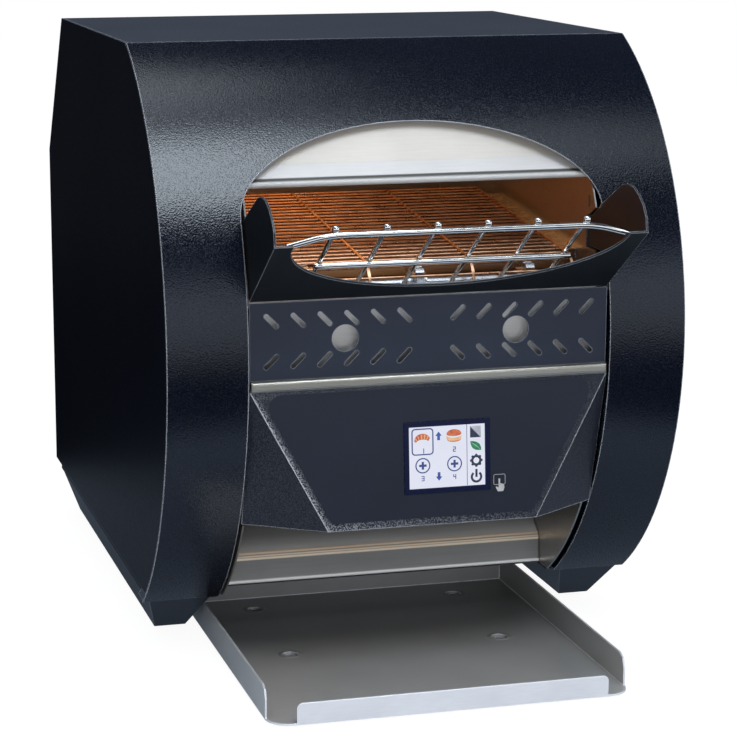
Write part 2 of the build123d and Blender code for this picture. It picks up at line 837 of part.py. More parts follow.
# ================================================================ front trims
def make_slot_panel():
    panel = slab(-trim_half, trim_half, slot_y, slot_y + front_sheet, slot_bottom, slot_top)
    ear = slab(trim_half - front_sheet, trim_half, slot_y, duct_y - gap, slot_bottom + 4, slot_top - 4)
    for part in both(ear):
        panel += part
    panel += slab(-trim_half, trim_half, slot_y, slot_y + 8, slot_bottom, slot_bottom + front_sheet)
    middle = (slot_top + slot_bottom) / 2
    reach = (slot_top - slot_bottom) * 0.26
    for side in (-1, 1):
        for row in (-1, 1):
            for i in range(6):
                x = side * trim_half * (0.149 + 0.1466 * i)
                spot = Plane(origin=(x, slot_y, middle + row * reach), x_dir=(1, 0, 0), z_dir=(0, -1, 0))
                slot = extrude(SlotOverall(slot_length, slot_width, rotation=side * row * 45), 9, both=True)
                panel -= spot * slot
        hole = side * trim_half * 0.478
        panel -= rod((hole, slot_y - 1, middle), (hole, slot_y + 4, middle), view_hole)
    return panel


def make_trim_rail():
    rail = slab(-trim_half, trim_half, control_top_y - 2.4, control_top_y + 2, control_top, slot_bottom)
    front = rail.edges().group_by(Axis.Y)[0]
    return fillet(front, 2.0)


def ramp_z(y):
    """Height of the ramp plate's upper face."""
    return ramp_bottom + (ramp_bottom_y - y) * ramp_slope


def make_feed_ramp():
    reach = ramp_bottom_y - ramp_top_y
    plate = folded([(ramp_bottom_y, ramp_bottom), (ramp_top_y, ramp_top)], front_sheet)
    plate = across(plate, -trim_half, trim_half)
    scoop = Ellipse(scoop_half, reach * 0.80)
    scoop = Pos(0, ramp_top_y + 2) * scoop
    plate -= Pos(0, 0, ramp_bottom - 40) * extrude(scoop, 150)
    cheek = make_face(Polyline(
        (ramp_bottom_y, ramp_bottom), (ramp_top_y, ramp_top), (ramp_top_y + 1.5, ramp_top + 8.5),
        (ramp_top_y + 7, ramp_top + 16), (ramp_top_y + 15, ramp_top + 22), (ramp_top_y + 24, ramp_top + 26),
        (ramp_top_y + 34, ramp_top + 27), (ramp_top_y + 43, ramp_top + 25.5),
        (ramp_bottom_y + 8, arch_z + 3.5), (ramp_bottom_y + 24, arch_z - 7),
        (mouth_y + 9, arch_z - 10.5), (mouth_y + 9, ramp_bottom + 22), (ramp_bottom_y + 9, ramp_bottom + 22),
        close=True))
    for part in both(across(cheek, trim_half - front_sheet, trim_half)):
        plate += part
    return plate


def sweep_rod(points, radius):
    """Bent round wire through the points, with ball joints at the bends."""
    wire = rod(points[0], points[1], radius)
    for a, b in zip(points[1:], points[2:]):
        wire += Pos(*a) * Sphere(radius)
        wire += rod(a, b, radius)
    return wire


def make_feed_rack():
    """Two cross bars under six wires, parallel to the ramp; the top bar rests on its corners."""
    lean = math.atan(ramp_slope)
    bar_y = ramp_top_y + 3.0
    bar_z = ramp_z(bar_y) + rack_lift
    tip_y = bar_y + 4.0
    tip = (scoop_half + rack_bar, tip_y, ramp_z(tip_y) + running + rack_bar / math.cos(lean))
    outer = 2.5 * rack_pitch
    bend = (outer + 5, bar_y, bar_z)
    rack = sweep_rod([(-tip[0], *tip[1:]), (-bend[0], *bend[1:]), bend, tip], rack_bar)
    low = (bar_y + rack_run, bar_z - rack_run * ramp_slope)
    rack += rod((-outer - 3, *low), (outer + 3, *low), rack_bar)
    over = rack_bar + rack_wire - 0.2
    top_y = bar_y + over * math.sin(lean) - 1.2
    top_z = bar_z + over * math.cos(lean) + 1.2 * ramp_slope
    run = ramp_bottom_y + 14.0 - top_y
    for i in range(6):
        x = (i - 2.5) * rack_pitch
        rack += rod((x, top_y, top_z), (x, top_y + run, top_z - run * ramp_slope), rack_wire)
        rack += Pos(x, top_y, top_z) * Sphere(rack_ball)
    leg_y = ramp_bottom_y - 6.0
    leg_top = top_z - (leg_y - top_y) * ramp_slope
    leg_end = ramp_z(leg_y) + running + rack_wire * ramp_slope
    for x in (-outer, outer):
        rack += rod((x, leg_y, leg_top), (x, leg_y, leg_end), rack_wire)
    return rack


# ================================================================ rear compartment
def make_fan_frame():
    half = fan_size / 2
    y0 = panel_in - 25
    frame = slab(fan_x - half, fan_x + half, y0, panel_in, fan_z - half, fan_z + half)
    frame = fillet(frame.edges().filter_by(Axis.Y), 4)
    frame -= rod((fan_x, y0 - 1, fan_z), (fan_x, panel_in + 1, fan_z), half - 2)
    stator = rod((fan_x, y0, fan_z), (fan_x, y0 + 3, fan_z), fan_size * 0.2)
    for turn in (0, 90, 180, 270):
        arm = Pos(fan_x, y0 + 1.5, fan_z) * Rot(0, turn + 45, 0) * Pos(half * 0.56, 0, 0)
        stator += arm * Box(half * 0.95, 3, 5)
    stator += rod((fan_x, y0, fan_z), (fan_x, y0 + 18, fan_z), 2.0)
    return frame + stator


def make_fan_rotor():
    y0 = panel_in - 25 + 3.5
    rotor = rod((fan_x, y0, fan_z), (fan_x, y0 + 18, fan_z), fan_size * 0.2)
    blade_reach = fan_size / 2 - 4 - fan_size * 0.18
    for i in range(7):
        blade = Pos(fan_size * 0.18 + blade_reach / 2, 0, 0) * Rot(38, 0, 0) * Box(blade_reach, 1.6, 20)
        rotor += Pos(fan_x, y0 + 9, fan_z) * Rot(0, i * 360 / 7, 0) * blade
    return rotor - rod((fan_x, y0 - 1, fan_z), (fan_x, y0 + 15.5, fan_z), 2.0 + running)


def make_fan_guard():
    """Stamped finger guard on four stand-offs outside the rear panel."""
    reach = fan_size * 0.57
    face = Plane(origin=(fan_x, panel_out + 3.6, fan_z), x_dir=(1, 0, 0), z_dir=(0, 1, 0))
    shape = Circle(fan_size * 0.13)
    for radius in (0.21, 0.29, 0.37, 0.45):
        shape += Circle(fan_size * radius + 1.1) - Circle(fan_size * radius - 1.1)
    studs = Sketch()
    for turn in (45, 135):
        shape += Rot(0, 0, turn) * Rectangle(2 * reach, 3.6)
        for side in (-reach, reach):
            studs += Rot(0, 0, turn) * Pos(side, 0) * Circle(3.4)
    return extrude(face * shape, 1.6) + extrude(face.offset(-3.6) * studs, 5.2)


def make_cord_gland():
    """Cord entry left open and unused, its locking nut inside."""
    x, z = cord_x, cord_z
    gland = rod((x, panel_out, z), (x, panel_out + 3.2, z), 12)
    gland += rod((x, panel_out + 3.2, z), (x, rear_y + rear_projection, z), 9)
    gland += rod((x, panel_in - 8, z), (x, panel_out, z), 7.8)
    nut = extrude(Plane(origin=(x, panel_in - 6, z), z_dir=(0, 1, 0)) * RegularPolygon(11.5, 6), 6)
    gland += nut
    return gland - rod((x, panel_in - 9, z), (x, rear_y + rear_projection + 1, z), 5)


def make_relay_blocks():
    blocks = []
    for x in (-half_width * 0.05, half_width * 0.27):
        y = panel_in - 40
        block = slab(x - 22, x + 22, y - 28, y + 28, floor_top + 3, floor_top + 26)
        block = chamfer(block.edges().group_by(Axis.Z)[-1], 1.5)
        plate = slab(x - 24, x + 24, y - 30, y + 30, floor_top, floor_top + 3)
        for dx in (-14, 14):
            for dy in (-20, 20):
                block -= Pos(x + dx, y + dy, floor_top + 26) * Cylinder(4, 6)
                block += Pos(x + dx, y + dy, floor_top + 23.5) * Cylinder(2.6, 3)
        blocks.append(block + plate)
    return group(blocks)


def make_terminal_block():
    x = half_width * 0.70
    y = panel_in - 60
    block = slab(x - 26, x + 26, y - 11, y + 11, floor_top, floor_top + 20)
    for i in range(4):
        slot_x = x - 19.5 + i * 13
        block -= slab(slot_x - 5, slot_x + 5, y - 12, y + 12, floor_top + 12, floor_top + 21)
        block += Pos(slot_x, y - 5, floor_top + 13) * Cylinder(3, 2.4)
        block += Pos(slot_x, y + 5, floor_top + 13) * Cylinder(3, 2.4)
    return block


# ================================================================ tray
def make_collection_tray():
    half = tray_half
    x = tray_offset
    y0 = tray_front_y
    y1 = y0 + tray_length
    low = 1.6
    floor = Pos(x, (y0 + y1) / 2, low) * RectangleRounded(2 * half, tray_length, 16)
    back = Pos(x, y1 - 20, low) * Rectangle(2 * half, 40)
    tray = extrude(floor + back, sheet)
    wall = make_face(Polyline(
        (y0 + 15, low), (y0 + 15, low + tray_wall - 8.5), (y0 + 17.5, low + tray_wall - 2.5),
        (y0 + 23.5, low + tray_wall), (y1, low + tray_wall), (y1, low), close=True))
    for side in (-1, 1):
        edge = x + side * half
        tray += across(wall, min(edge, edge - side * sheet), max(edge, edge - side * sheet))
    tray += slab(x - half, x + half, y1 - sheet, y1, low, low + tray_wall)
    lip = RectangleRounded(2 * half - 36, 30, 4)
    lip = Plane(origin=(x, y0 + sheet, low), x_dir=(1, 0, 0), z_dir=(0, -1, 0)) * lip
    tray += extrude(lip, sheet) - slab(x - half, x + half, y0 - 1, y0 + 2, low - 40, low)
    for dx in (-half * 0.62, half * 0.62):
        for dy in (28, tray_length * 0.5, tray_length - 28):
            spot = Pos(x + dx, y0 + dy, 0)
            tray += spot * Pos(0, 0, low / 2 + 0.3) * Cone(5.0, 7.5, low + 0.6)
            tray -= spot * Pos(0, 0, low + 0.7) * Cone(3.6, 6.5, 1.0 + sheet)
    return tray


# ================================================================ all pieces
def main():
    os.makedirs("parts", exist_ok=True)
    wall = make_inner_wall()
    side = make_side_panel()
    skid = make_skid()
    idler, drive = shaft_centres()
    pieces = {
        "base_pan": make_base_pan(),
        "left_skid": mirror(skid, Plane.YZ),
        "right_skid": skid,
        "rubber_feet": make_rubber_feet(),
        "left_inner_wall": mirror(wall, Plane.YZ),
        "right_inner_wall": wall,
        "left_side_panel": mirror(side, Plane.YZ),
        "right_side_panel": side,
        "front_panel": make_front_panel(),
        "top_cover": make_top_cover(),
        "rear_panel": make_rear_panel(),
        "rear_screws": make_rear_screws(),
        "hood_reflector": make_hood_reflector(),
        "upper_reflector": make_upper_reflector(),
        "cavity_rear_wall": make_cavity_rear_wall(),
        "lower_reflector": make_lower_reflector(),
        "discharge_slide": make_discharge_slide(),
        "heat_shield": make_heat_shield(),
        "upper_heaters": heater_rods(upper_heater_centres()),
        "lower_heaters": heater_rods(lower_heater_centres()),
        "heater_holders": make_heater_holders(),
        "conveyor_belt": make_conveyor_belt(),
        "belt_rails": make_belt_rails(),
        "drive_shaft": make_drive_shaft(),
        "drive_wheels": belt_wheels(drive),
        "drive_collars": make_drive_collars(),
        "idler_shaft": make_idler_shaft(),
        "idler_wheels": belt_wheels(idler),
        "idler_collars": make_idler_collars(),
        "shaft_bearings": make_shaft_bearings(),
        "driven_sprocket": make_driven_sprocket(),
        "motor_sprocket": make_motor_sprocket(),
        "drive_chain": make_drive_chain(),
        "motor_bracket": make_motor_bracket(),
        "gear_motor": make_gear_motor(),
        "control_housing": make_control_housing(),
        "overlay_film": make_overlay_film(),
        "screen_bezel": make_screen_bezel(),
        "touch_screen": make_touch_screen(),
        "control_board": make_control_board(),
        "slot_panel": make_slot_panel(),
        "trim_rail": make_trim_rail(),
        "feed_ramp": make_feed_ramp(),
        "feed_rack": make_feed_rack(),
        "fan_frame": make_fan_frame(),
        "fan_rotor": make_fan_rotor(),
        "fan_guard": make_fan_guard(),
        "cord_gland": make_cord_gland(),
        "relay_blocks": make_relay_blocks(),
        "terminal_block": make_terminal_block(),
        "collection_tray": make_collection_tray(),
    }
    for name, piece in pieces.items():
        export_step(piece, "parts/" + name + ".step")


main()
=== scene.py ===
import math

import bmesh
import bpy
from mathutils import Matrix, Vector


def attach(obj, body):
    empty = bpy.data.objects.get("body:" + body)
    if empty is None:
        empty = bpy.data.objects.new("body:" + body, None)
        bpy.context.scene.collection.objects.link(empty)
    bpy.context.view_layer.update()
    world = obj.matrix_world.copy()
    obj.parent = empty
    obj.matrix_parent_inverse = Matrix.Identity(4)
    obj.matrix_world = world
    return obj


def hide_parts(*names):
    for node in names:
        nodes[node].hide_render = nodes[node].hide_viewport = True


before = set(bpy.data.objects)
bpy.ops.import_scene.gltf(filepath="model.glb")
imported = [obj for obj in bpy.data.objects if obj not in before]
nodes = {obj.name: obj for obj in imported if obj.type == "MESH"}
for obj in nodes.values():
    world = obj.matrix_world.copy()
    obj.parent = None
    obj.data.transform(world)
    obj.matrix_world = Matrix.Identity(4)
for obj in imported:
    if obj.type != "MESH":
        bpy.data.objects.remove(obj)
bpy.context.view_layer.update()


# ------------------------------------------------------------------ camera
# A long lens from the left front, a little above the case. It is set by its
# turn, its tilt and its roll, and by a focal length in pixels of a 737 picture.
frame_px = 737.0
focal_px = 2338.13
middle_px = (289.135, 377.225)
cam_turn, cam_tilt, cam_roll = 0.25052877, 0.21388699, 0.00157037
cam_stand = (-0.48210, -1.69992, 0.54996)
film_width = 36.0
ahead = Vector((math.sin(cam_turn) * math.cos(cam_tilt), math.cos(cam_turn) * math.cos(cam_tilt),
                -math.sin(cam_tilt)))
level_right = Vector((math.cos(cam_turn), -math.sin(cam_turn), 0.0))
down = ahead.cross(level_right)
right = math.cos(cam_roll) * level_right + math.sin(cam_roll) * down
down = ahead.cross(right)
camera = bpy.data.objects.new("camera", bpy.data.cameras.new("camera"))
bpy.context.scene.collection.objects.link(camera)
turn = Matrix((right, -down, -ahead)).transposed().to_4x4()
camera.matrix_world = Matrix.Translation(cam_stand) @ turn
camera.data.sensor_fit = "HORIZONTAL"
camera.data.sensor_width = film_width
camera.data.lens = focal_px / frame_px * film_width
camera.data.shift_x = (frame_px / 2 - middle_px[0]) / frame_px
camera.data.shift_y = (middle_px[1] - frame_px / 2) / frame_px
camera.data.clip_end = 50.0
bpy.context.scene.camera = camera
bpy.context.scene.view_settings.view_transform = "Standard"


# ------------------------------------------------------------------ studio
# A white table in a white room. Shiny surfaces see the table end a short way
# from the object, a dark studio beyond it and a bright wall along the horizon.
def link(material, source, target):
    """A wire from one socket to another."""
    material.node_tree.links.new(source, target)


def worked_out(material, operation, *given):
    """One Math node; each input is a number or a socket."""
    node = material.node_tree.nodes.new("ShaderNodeMath")
    node.operation = operation
    for socket, value in zip(node.inputs, given):
        if isinstance(value, (int, float)):
            socket.default_value = value
        else:
            link(material, value, socket)
    return node.outputs[0]


def graded(material, source, stops):
    """A ramp of colours or greys along a value."""
    ramp = material.node_tree.nodes.new("ShaderNodeValToRGB")
    marks = ramp.color_ramp.elements
    marks[0].position, marks[1].position = stops[0][0], stops[-1][0]
    for at, shade in stops[1:-1]:
        marks.new(at)
    for mark, (at, shade) in zip(marks, stops):
        mark.color = (*shade, 1) if isinstance(shade, tuple) else (shade, shade, shade, 1)
    link(material, source, ramp.inputs["Fac"])
    return ramp.outputs["Color"]


floor_mesh = bpy.data.meshes.new("studio_floor")
table_reach = 6.0
floor_mesh.from_pydata([(-table_reach, -table_reach, 0), (table_reach, -table_reach, 0),
                        (table_reach, table_reach, 0), (-table_reach, table_reach, 0)], [], [(0, 1, 2, 3)])
studio_floor = bpy.data.objects.new("studio_floor", floor_mesh)
bpy.context.scene.collection.objects.link(studio_floor)
floor_white = bpy.data.materials.new("floor_white")
floor_white.use_nodes = True
net = floor_white.node_tree.nodes
net.clear()
floor_out = net.new("ShaderNodeOutputMaterial")
floor_matt = net.new("ShaderNodeBsdfDiffuse")
floor_matt.inputs["Color"].default_value = (0.86, 0.86, 0.86, 1)
floor_ray = net.new("ShaderNodeLightPath")
floor_place = net.new("ShaderNodeTexCoord")
floor_far = net.new("ShaderNodeVectorMath")
floor_far.operation = "LENGTH"
link(floor_white, floor_place.outputs["Object"], floor_far.inputs[0])
floor_split = net.new("ShaderNodeSeparateXYZ")
link(floor_white, floor_place.outputs["Object"], floor_split.inputs[0])
to_front = graded(floor_white, worked_out(floor_white, "MULTIPLY_ADD", floor_split.outputs["Y"], 0.25, 0.5),
                  [(0.30, 1.0), (0.50, 0.02)])
table_near = graded(floor_white, worked_out(floor_white, "MULTIPLY", floor_far.outputs["Value"], 0.25),
                    [(0.05, (0.50, 0.63, 0.82)), (0.108, (0.72, 0.90, 1.16)), (0.128, 0.02), (1.0, 0.01)])
table_past = graded(floor_white, worked_out(floor_white, "MULTIPLY", floor_far.outputs["Value"], 0.25),
                    [(0.36, 0.0), (0.50, 0.85)])
floor_glow = net.new("ShaderNodeEmission")
floor_glow.inputs["Strength"].default_value = 1.07
floor_mirror = net.new("ShaderNodeEmission")
far_part = worked_out(floor_white, "MULTIPLY", table_past, to_front)
seen_in_paint = net.new("ShaderNodeMix")
seen_in_paint.data_type = "RGBA"
seen_in_paint.blend_type = "ADD"
seen_in_paint.inputs[0].default_value = 1.0
dimmed = net.new("ShaderNodeMix")
dimmed.data_type = "RGBA"
dimmed.blend_type = "MULTIPLY"
dimmed.inputs[0].default_value = 1.0
link(floor_white, table_near, dimmed.inputs[6])
link(floor_white, worked_out(floor_white, "MULTIPLY_ADD", to_front, 0.92, 0.18), dimmed.inputs[7])
link(floor_white, dimmed.outputs[2], seen_in_paint.inputs[6])
link(floor_white, far_part, seen_in_paint.inputs[7])
link(floor_white, seen_in_paint.outputs[2], floor_mirror.inputs["Color"])
floor_mirror.inputs["Strength"].default_value = 1.0
looked_at = worked_out(floor_white, "MULTIPLY", floor_ray.outputs["Is Camera Ray"], 0.88)
mirrored = worked_out(floor_white, "MAXIMUM", floor_ray.outputs["Is Glossy Ray"],
                      floor_ray.outputs["Is Transmission Ray"])
first_cover = net.new("ShaderNodeMixShader")
link(floor_white, looked_at, first_cover.inputs["Fac"])
link(floor_white, floor_matt.outputs[0], first_cover.inputs[1])
link(floor_white, floor_glow.outputs[0], first_cover.inputs[2])
second_cover = net.new("ShaderNodeMixShader")
link(floor_white, mirrored, second_cover.inputs["Fac"])
link(floor_white, first_cover.outputs[0], second_cover.inputs[1])
link(floor_white, floor_mirror.outputs[0], second_cover.inputs[2])
link(floor_white, second_cover.outputs[0], floor_out.inputs["Surface"])
floor_mesh.materials.append(floor_white)

room = bpy.data.worlds.new("white_room")
bpy.context.scene.world = room
room.use_nodes = True
net = room.node_tree.nodes
net.clear()
room_out = net.new("ShaderNodeOutputWorld")
room_ray = net.new("ShaderNodeLightPath")
room_way = net.new("ShaderNodeTexCoord")
room_split = net.new("ShaderNodeSeparateXYZ")
link(room, room_way.outputs["Generated"], room_split.inputs[0])
up_part = worked_out(room, "MULTIPLY_ADD", room_split.outputs["Z"], 0.5, 0.5)
front_wall = graded(room, up_part, [(0.0, 0.5), (0.50, (0.78, 0.90, 1.08)), (0.60, (1.00, 1.15, 1.36)),
                                    (0.65, (0.78, 0.90, 1.08)), (0.69, 0.05), (0.86, 0.04),
                                    (1.0, (0.02, 0.022, 0.025))])
back_wall = graded(room, up_part, [(0.0, 0.02), (0.50, 0.012), (0.57, (0.11, 0.13, 0.18)),
                                   (0.66, (0.15, 0.175, 0.23)), (0.85, (0.06, 0.07, 0.09)),
                                   (1.0, (0.02, 0.022, 0.025))])
to_back = graded(room, worked_out(room, "MULTIPLY_ADD", room_split.outputs["Y"], 0.5, 0.5),
                 [(0.35, 0.0), (0.65, 1.0)])
walls = net.new("ShaderNodeMix")
walls.data_type = "RGBA"
link(room, to_back, walls.inputs[0])
link(room, front_wall, walls.inputs[6])
link(room, back_wall, walls.inputs[7])
wall_glow = net.new("ShaderNodeBackground")
link(room, walls.outputs[2], wall_glow.inputs["Color"])
fill_glow = net.new("ShaderNodeBackground")
fill_glow.inputs["Color"].default_value = (0.90, 0.95, 1.0, 1)
fill_glow.inputs["Strength"].default_value = 0.70
white_glow = net.new("ShaderNodeBackground")
white_glow.inputs["Color"].default_value = (1, 1, 1, 1)
shiny = worked_out(room, "MAXIMUM", room_ray.outputs["Is Glossy Ray"],
                   room_ray.outputs["Is Transmission Ray"])
first_mix = net.new("ShaderNodeMixShader")
link(room, shiny, first_mix.inputs["Fac"])
link(room, fill_glow.outputs[0], first_mix.inputs[1])
link(room, wall_glow.outputs[0], first_mix.inputs[2])
last_mix = net.new("ShaderNodeMixShader")
link(room, room_ray.outputs["Is Camera Ray"], last_mix.inputs["Fac"])
link(room, first_mix.outputs[0], last_mix.inputs[1])
link(room, white_glow.outputs[0], last_mix.inputs[2])
link(room, last_mix.outputs[0], room_out.inputs["Surface"])


def softbox(name, place, aim, width, height, watts, tint=(1, 1, 1)):
    """A flat studio lamp at a place, turned to face its aim."""
    lamp = bpy.data.lights.new(name, "AREA")
    lamp.shape = "RECTANGLE"
    lamp.size, lamp.size_y = width, height
    lamp.energy = watts
    lamp.color = tint
    box = bpy.data.objects.new(name, lamp)
    bpy.context.scene.collection.objects.link(box)
    way = Vector(aim) - Vector(place)
    box.matrix_world = Matrix.Translation(place) @ way.to_track_quat("-Z", "Y").to_matrix().to_4x4()
    box.visible_camera = False
    return box


front_top = (0.0, -0.12, 0.30)      # the upper part of the bowed front
sky_tint = (0.80, 0.90, 1.0)
softbox("key_box", (0.10, -0.94, 1.60), front_top, 0.60, 0.80, 15, sky_tint)
softbox("bridge_box", (0.08, -0.32, 1.72), front_top, 0.50, 0.50, 1.1, sky_tint)
softbox("corner_box", (0.62, -0.72, 1.55), front_top, 0.50, 0.55, 1.1, sky_tint)
softbox("ceiling_box", (-0.42, 0.10, 1.62), (-0.30, 0.0, 0.30), 0.85, 1.10, 7.5, (0.82, 0.91, 1.0))
softbox("right_box", (1.9, -0.9, 1.2), (0.0, 0.0, 0.2), 0.8, 0.8, 3.5)
low_fill = softbox("low_fill", (-0.3, -2.3, 0.22), (0.0, -0.2, 0.06), 1.2, 0.4, 20, (0.93, 0.95, 1.0))
low_fill.visible_glossy = False


# ------------------------------------------------------------------ painted case
# Front, roof, sides, back and base of bent sheet steel, screwed together and powder
# coated. The bowed front has a leather-like wrinkle, the others a finer, flatter skin.
def new_finish(name, slot_name, metallic=0.0, specular=0.5):
    """A material with one Principled shader, and the coordinates that its textures follow."""
    material = bpy.data.materials.new(name)
    material.use_nodes = True
    material["slot_name"] = slot_name
    shader = material.node_tree.nodes["Principled BSDF"]
    shader.inputs["Metallic"].default_value = metallic
    shader.inputs["Specular IOR Level"].default_value = specular
    place = material.node_tree.nodes.new("ShaderNodeTexCoord")
    place.name = "place"
    return material


def grain(material, size, detail=3.0, rough=0.55, stretch=(1, 1, 1)):
    """Noise whose features are about size metres across; stretch makes them long and thin."""
    tree = material.node_tree
    fit = tree.nodes.new("ShaderNodeMapping")
    fit.inputs["Scale"].default_value = stretch
    link(material, tree.nodes["place"].outputs["Object"], fit.inputs["Vector"])
    noise = tree.nodes.new("ShaderNodeTexNoise")
    noise.inputs["Scale"].default_value = 1.0 / size
    noise.inputs["Detail"].default_value = detail
    noise.inputs["Roughness"].default_value = rough
    link(material, fit.outputs[0], noise.inputs["Vector"])
    return noise.outputs["Fac"]


def blended(material, low, high, amount, mode="MIX"):
    """Two colours mixed by an amount; either one may be a fixed colour."""
    mixer = material.node_tree.nodes.new("ShaderNodeMix")
    mixer.data_type = "RGBA"
    mixer.blend_type = mode
    for socket, given in ((mixer.inputs[6], low), (mixer.inputs[7], high), (mixer.inputs[0], amount)):
        if isinstance(given, tuple):
            socket.default_value = (*given, 1)
        elif isinstance(given, float):
            socket.default_value = given
        else:
            link(material, given, socket)
    return mixer.outputs[2]


def edge_highlight(material, radius=0.0012, steps=((0.008, 0.0), (0.07, 1.0))):
    """A painted highlight mask: white on sharp outer edges and black on flat faces, broken up by noise."""
    tree = material.node_tree
    round_normal = tree.nodes.new("ShaderNodeBevel")
    round_normal.samples = 4
    round_normal.inputs["Radius"].default_value = radius
    true_normal = tree.nodes.new("ShaderNodeNewGeometry")
    apart = tree.nodes.new("ShaderNodeVectorMath")
    apart.operation = "DOT_PRODUCT"
    link(material, round_normal.outputs[0], apart.inputs[0])
    link(material, true_normal.outputs["Normal"], apart.inputs[1])
    turned = worked_out(material, "SUBTRACT", 1.0, apart.outputs["Value"])
    broken_up = graded(material, grain(material, 0.012), [(0.35, 0.4), (0.65, 1.0)])
    return graded(material, worked_out(material, "MULTIPLY", turned, broken_up), steps)


def dress(material, colour=None, roughness=None, heights=(), emission=None, glow=0.0, edge=0.0):
    """Joins colour, roughness, (height, strength, distance) bumps and an edge radius to the shader."""
    tree = material.node_tree
    shader = tree.nodes["Principled BSDF"]
    if colour is not None:
        link(material, colour, shader.inputs["Base Color"])
    if roughness is not None:
        link(material, roughness, shader.inputs["Roughness"])
    below = None
    if edge:
        eased = tree.nodes.new("ShaderNodeBevel")
        eased.samples = 6
        eased.inputs["Radius"].default_value = edge
        below = eased.outputs[0]
    for height, strength, distance in heights:
        bump = tree.nodes.new("ShaderNodeBump")
        bump.inputs["Strength"].default_value = strength
        bump.inputs["Distance"].default_value = distance
        link(material, height, bump.inputs["Height"])
        if below is not None:
            link(material, below, bump.inputs["Normal"])
        below = bump.outputs["Normal"]
    if below is not None:
        link(material, below, shader.inputs["Normal"])
    if emission is not None:
        link(material, emission, shader.inputs["Emission Color"])
        shader.inputs["Emission Strength"].default_value = glow
    return material


def give(name, material):
    """Puts one material on a carried-over CAD node."""
    mesh = nodes[name].data
    mesh.materials.clear()
    mesh.materials.append(material)
    for face in mesh.polygons:
        face.material_index = 0


wrinkle_coat = new_finish("wrinkle_coat", "case_paint", specular=0.45)
leather = grain(wrinkle_coat, 0.00105, 0.0, 0.45)
cracks = grain(wrinkle_coat, 0.00105, 0.0, 0.45, (1.1, 1.1, 1.1))
cloudy = grain(wrinkle_coat, 0.09)
# The lighter sharp edges are a painted highlight.
dress(wrinkle_coat,
      blended(wrinkle_coat,
              graded(wrinkle_coat, cloudy,
                     [(0.3, (0.0015, 0.0026, 0.0064)), (0.7, (0.0022, 0.0036, 0.0085))]),
              (0.36, 0.37, 0.40), edge_highlight(wrinkle_coat, 0.0011)),
      graded(wrinkle_coat, cracks, [(0.40, 0.28), (0.58, 0.12)]),
      [(leather, 0.42, 0.0003)], edge=0.0007)

flat_coat = new_finish("flat_coat", "side_paint", specular=0.14)
skin = grain(flat_coat, 0.0016, 2.0, 0.5)
# The lighter sharp edges are a painted highlight.
dress(flat_coat,
      blended(flat_coat,
              graded(flat_coat, grain(flat_coat, 0.12),
                     [(0.3, (0.0014, 0.0028, 0.0070)), (0.7, (0.0022, 0.0040, 0.0095))]),
              (0.14, 0.15, 0.17), edge_highlight(flat_coat, 0.0009)),
      graded(flat_coat, skin, [(0.3, 0.42), (0.7, 0.34)]),
      [(skin, 0.25, 0.0002)], edge=0.0008)

roof_coat = new_finish("roof_coat", "case_paint", specular=0.5)
roof_skin = grain(roof_coat, 0.0018, 2.0, 0.5)
# The lighter sharp edges are a painted highlight.
dress(roof_coat,
      blended(roof_coat,
              graded(roof_coat, grain(roof_coat, 0.10),
                     [(0.3, (0.008, 0.011, 0.018)), (0.7, (0.012, 0.016, 0.024))]),
              (0.30, 0.31, 0.34), edge_highlight(roof_coat, 0.0011)),
      graded(roof_coat, roof_skin, [(0.3, 0.40), (0.7, 0.32)]),
      [(roof_skin, 0.30, 0.0002)], edge=0.0008)
give("front_panel", wrinkle_coat)
give("top_cover", roof_coat)
for name in ("left_side_panel", "right_side_panel", "rear_panel", "base_pan"):
    give(name, flat_coat)


# ------------------------------------------------------------------ skids and feet
# Two tapered skids folded from sheet, in the same coat painted a shade lighter as painted light, screwed
# under the base pan. Four moulded rubber feet are pressed into them.
# A lighter copy of the side coat, as painted light; its lighter sharp edges are a painted highlight.
skid_coat = new_finish("skid_coat", "side_paint", specular=0.5)
skid_skin = grain(skid_coat, 0.0016, 2.0, 0.5)
dress(skid_coat,
      blended(skid_coat,
              graded(skid_coat, grain(skid_coat, 0.12),
                     [(0.3, (0.005, 0.007, 0.013)), (0.7, (0.007, 0.010, 0.017))]),
              (0.16, 0.17, 0.19), edge_highlight(skid_coat, 0.0009)),
      graded(skid_coat, skid_skin, [(0.3, 0.40), (0.7, 0.32)]),
      [(skid_skin, 0.25, 0.0002)], edge=0.0008)
for name in ("left_skid", "right_skid"):
    give(name, skid_coat)

rubber = new_finish("black_rubber", "rubber", specular=0.25)
rubbery = grain(rubber, 0.0012, 4.0)
dress(rubber, graded(rubber, rubbery, [(0.3, (0.010, 0.010, 0.011)), (0.7, (0.022, 0.022, 0.023))]),
      graded(rubber, rubbery, [(0.3, 0.75), (0.7, 0.6)]), [(rubbery, 0.2, 0.0004)])
give("rubber_feet", rubber)


# ------------------------------------------------------------------ inner walls and heat shield
# Stainless sheets, brushed along their length, that stand on the base pan. The left
# one is sooted by the heat, and a duller shield keeps the heat off the screen's board.
def brushed(name, slot_name, low, high, rough_low, rough_high, stretch, depth=0.10, metallic=1.0, edge=0.0):
    """Rolled or brushed metal: fine streaks along one way, with slow cloudy changes of shade."""
    metal = new_finish(name, slot_name, metallic=metallic)
    streak = grain(metal, 0.0011, 3.0, 0.6, stretch)
    cloud = grain(metal, 0.05)
    tone = blended(metal, graded(metal, streak, [(0.25, low), (0.75, high)]),
                   graded(metal, cloud, [(0.3, 0.86), (0.7, 1.0)]), 0.6, "MULTIPLY")
    dress(metal, tone, graded(metal, streak, [(0.25, rough_low), (0.75, rough_high)]),
          [(streak, depth, 0.0001)], edge=edge)
    return metal


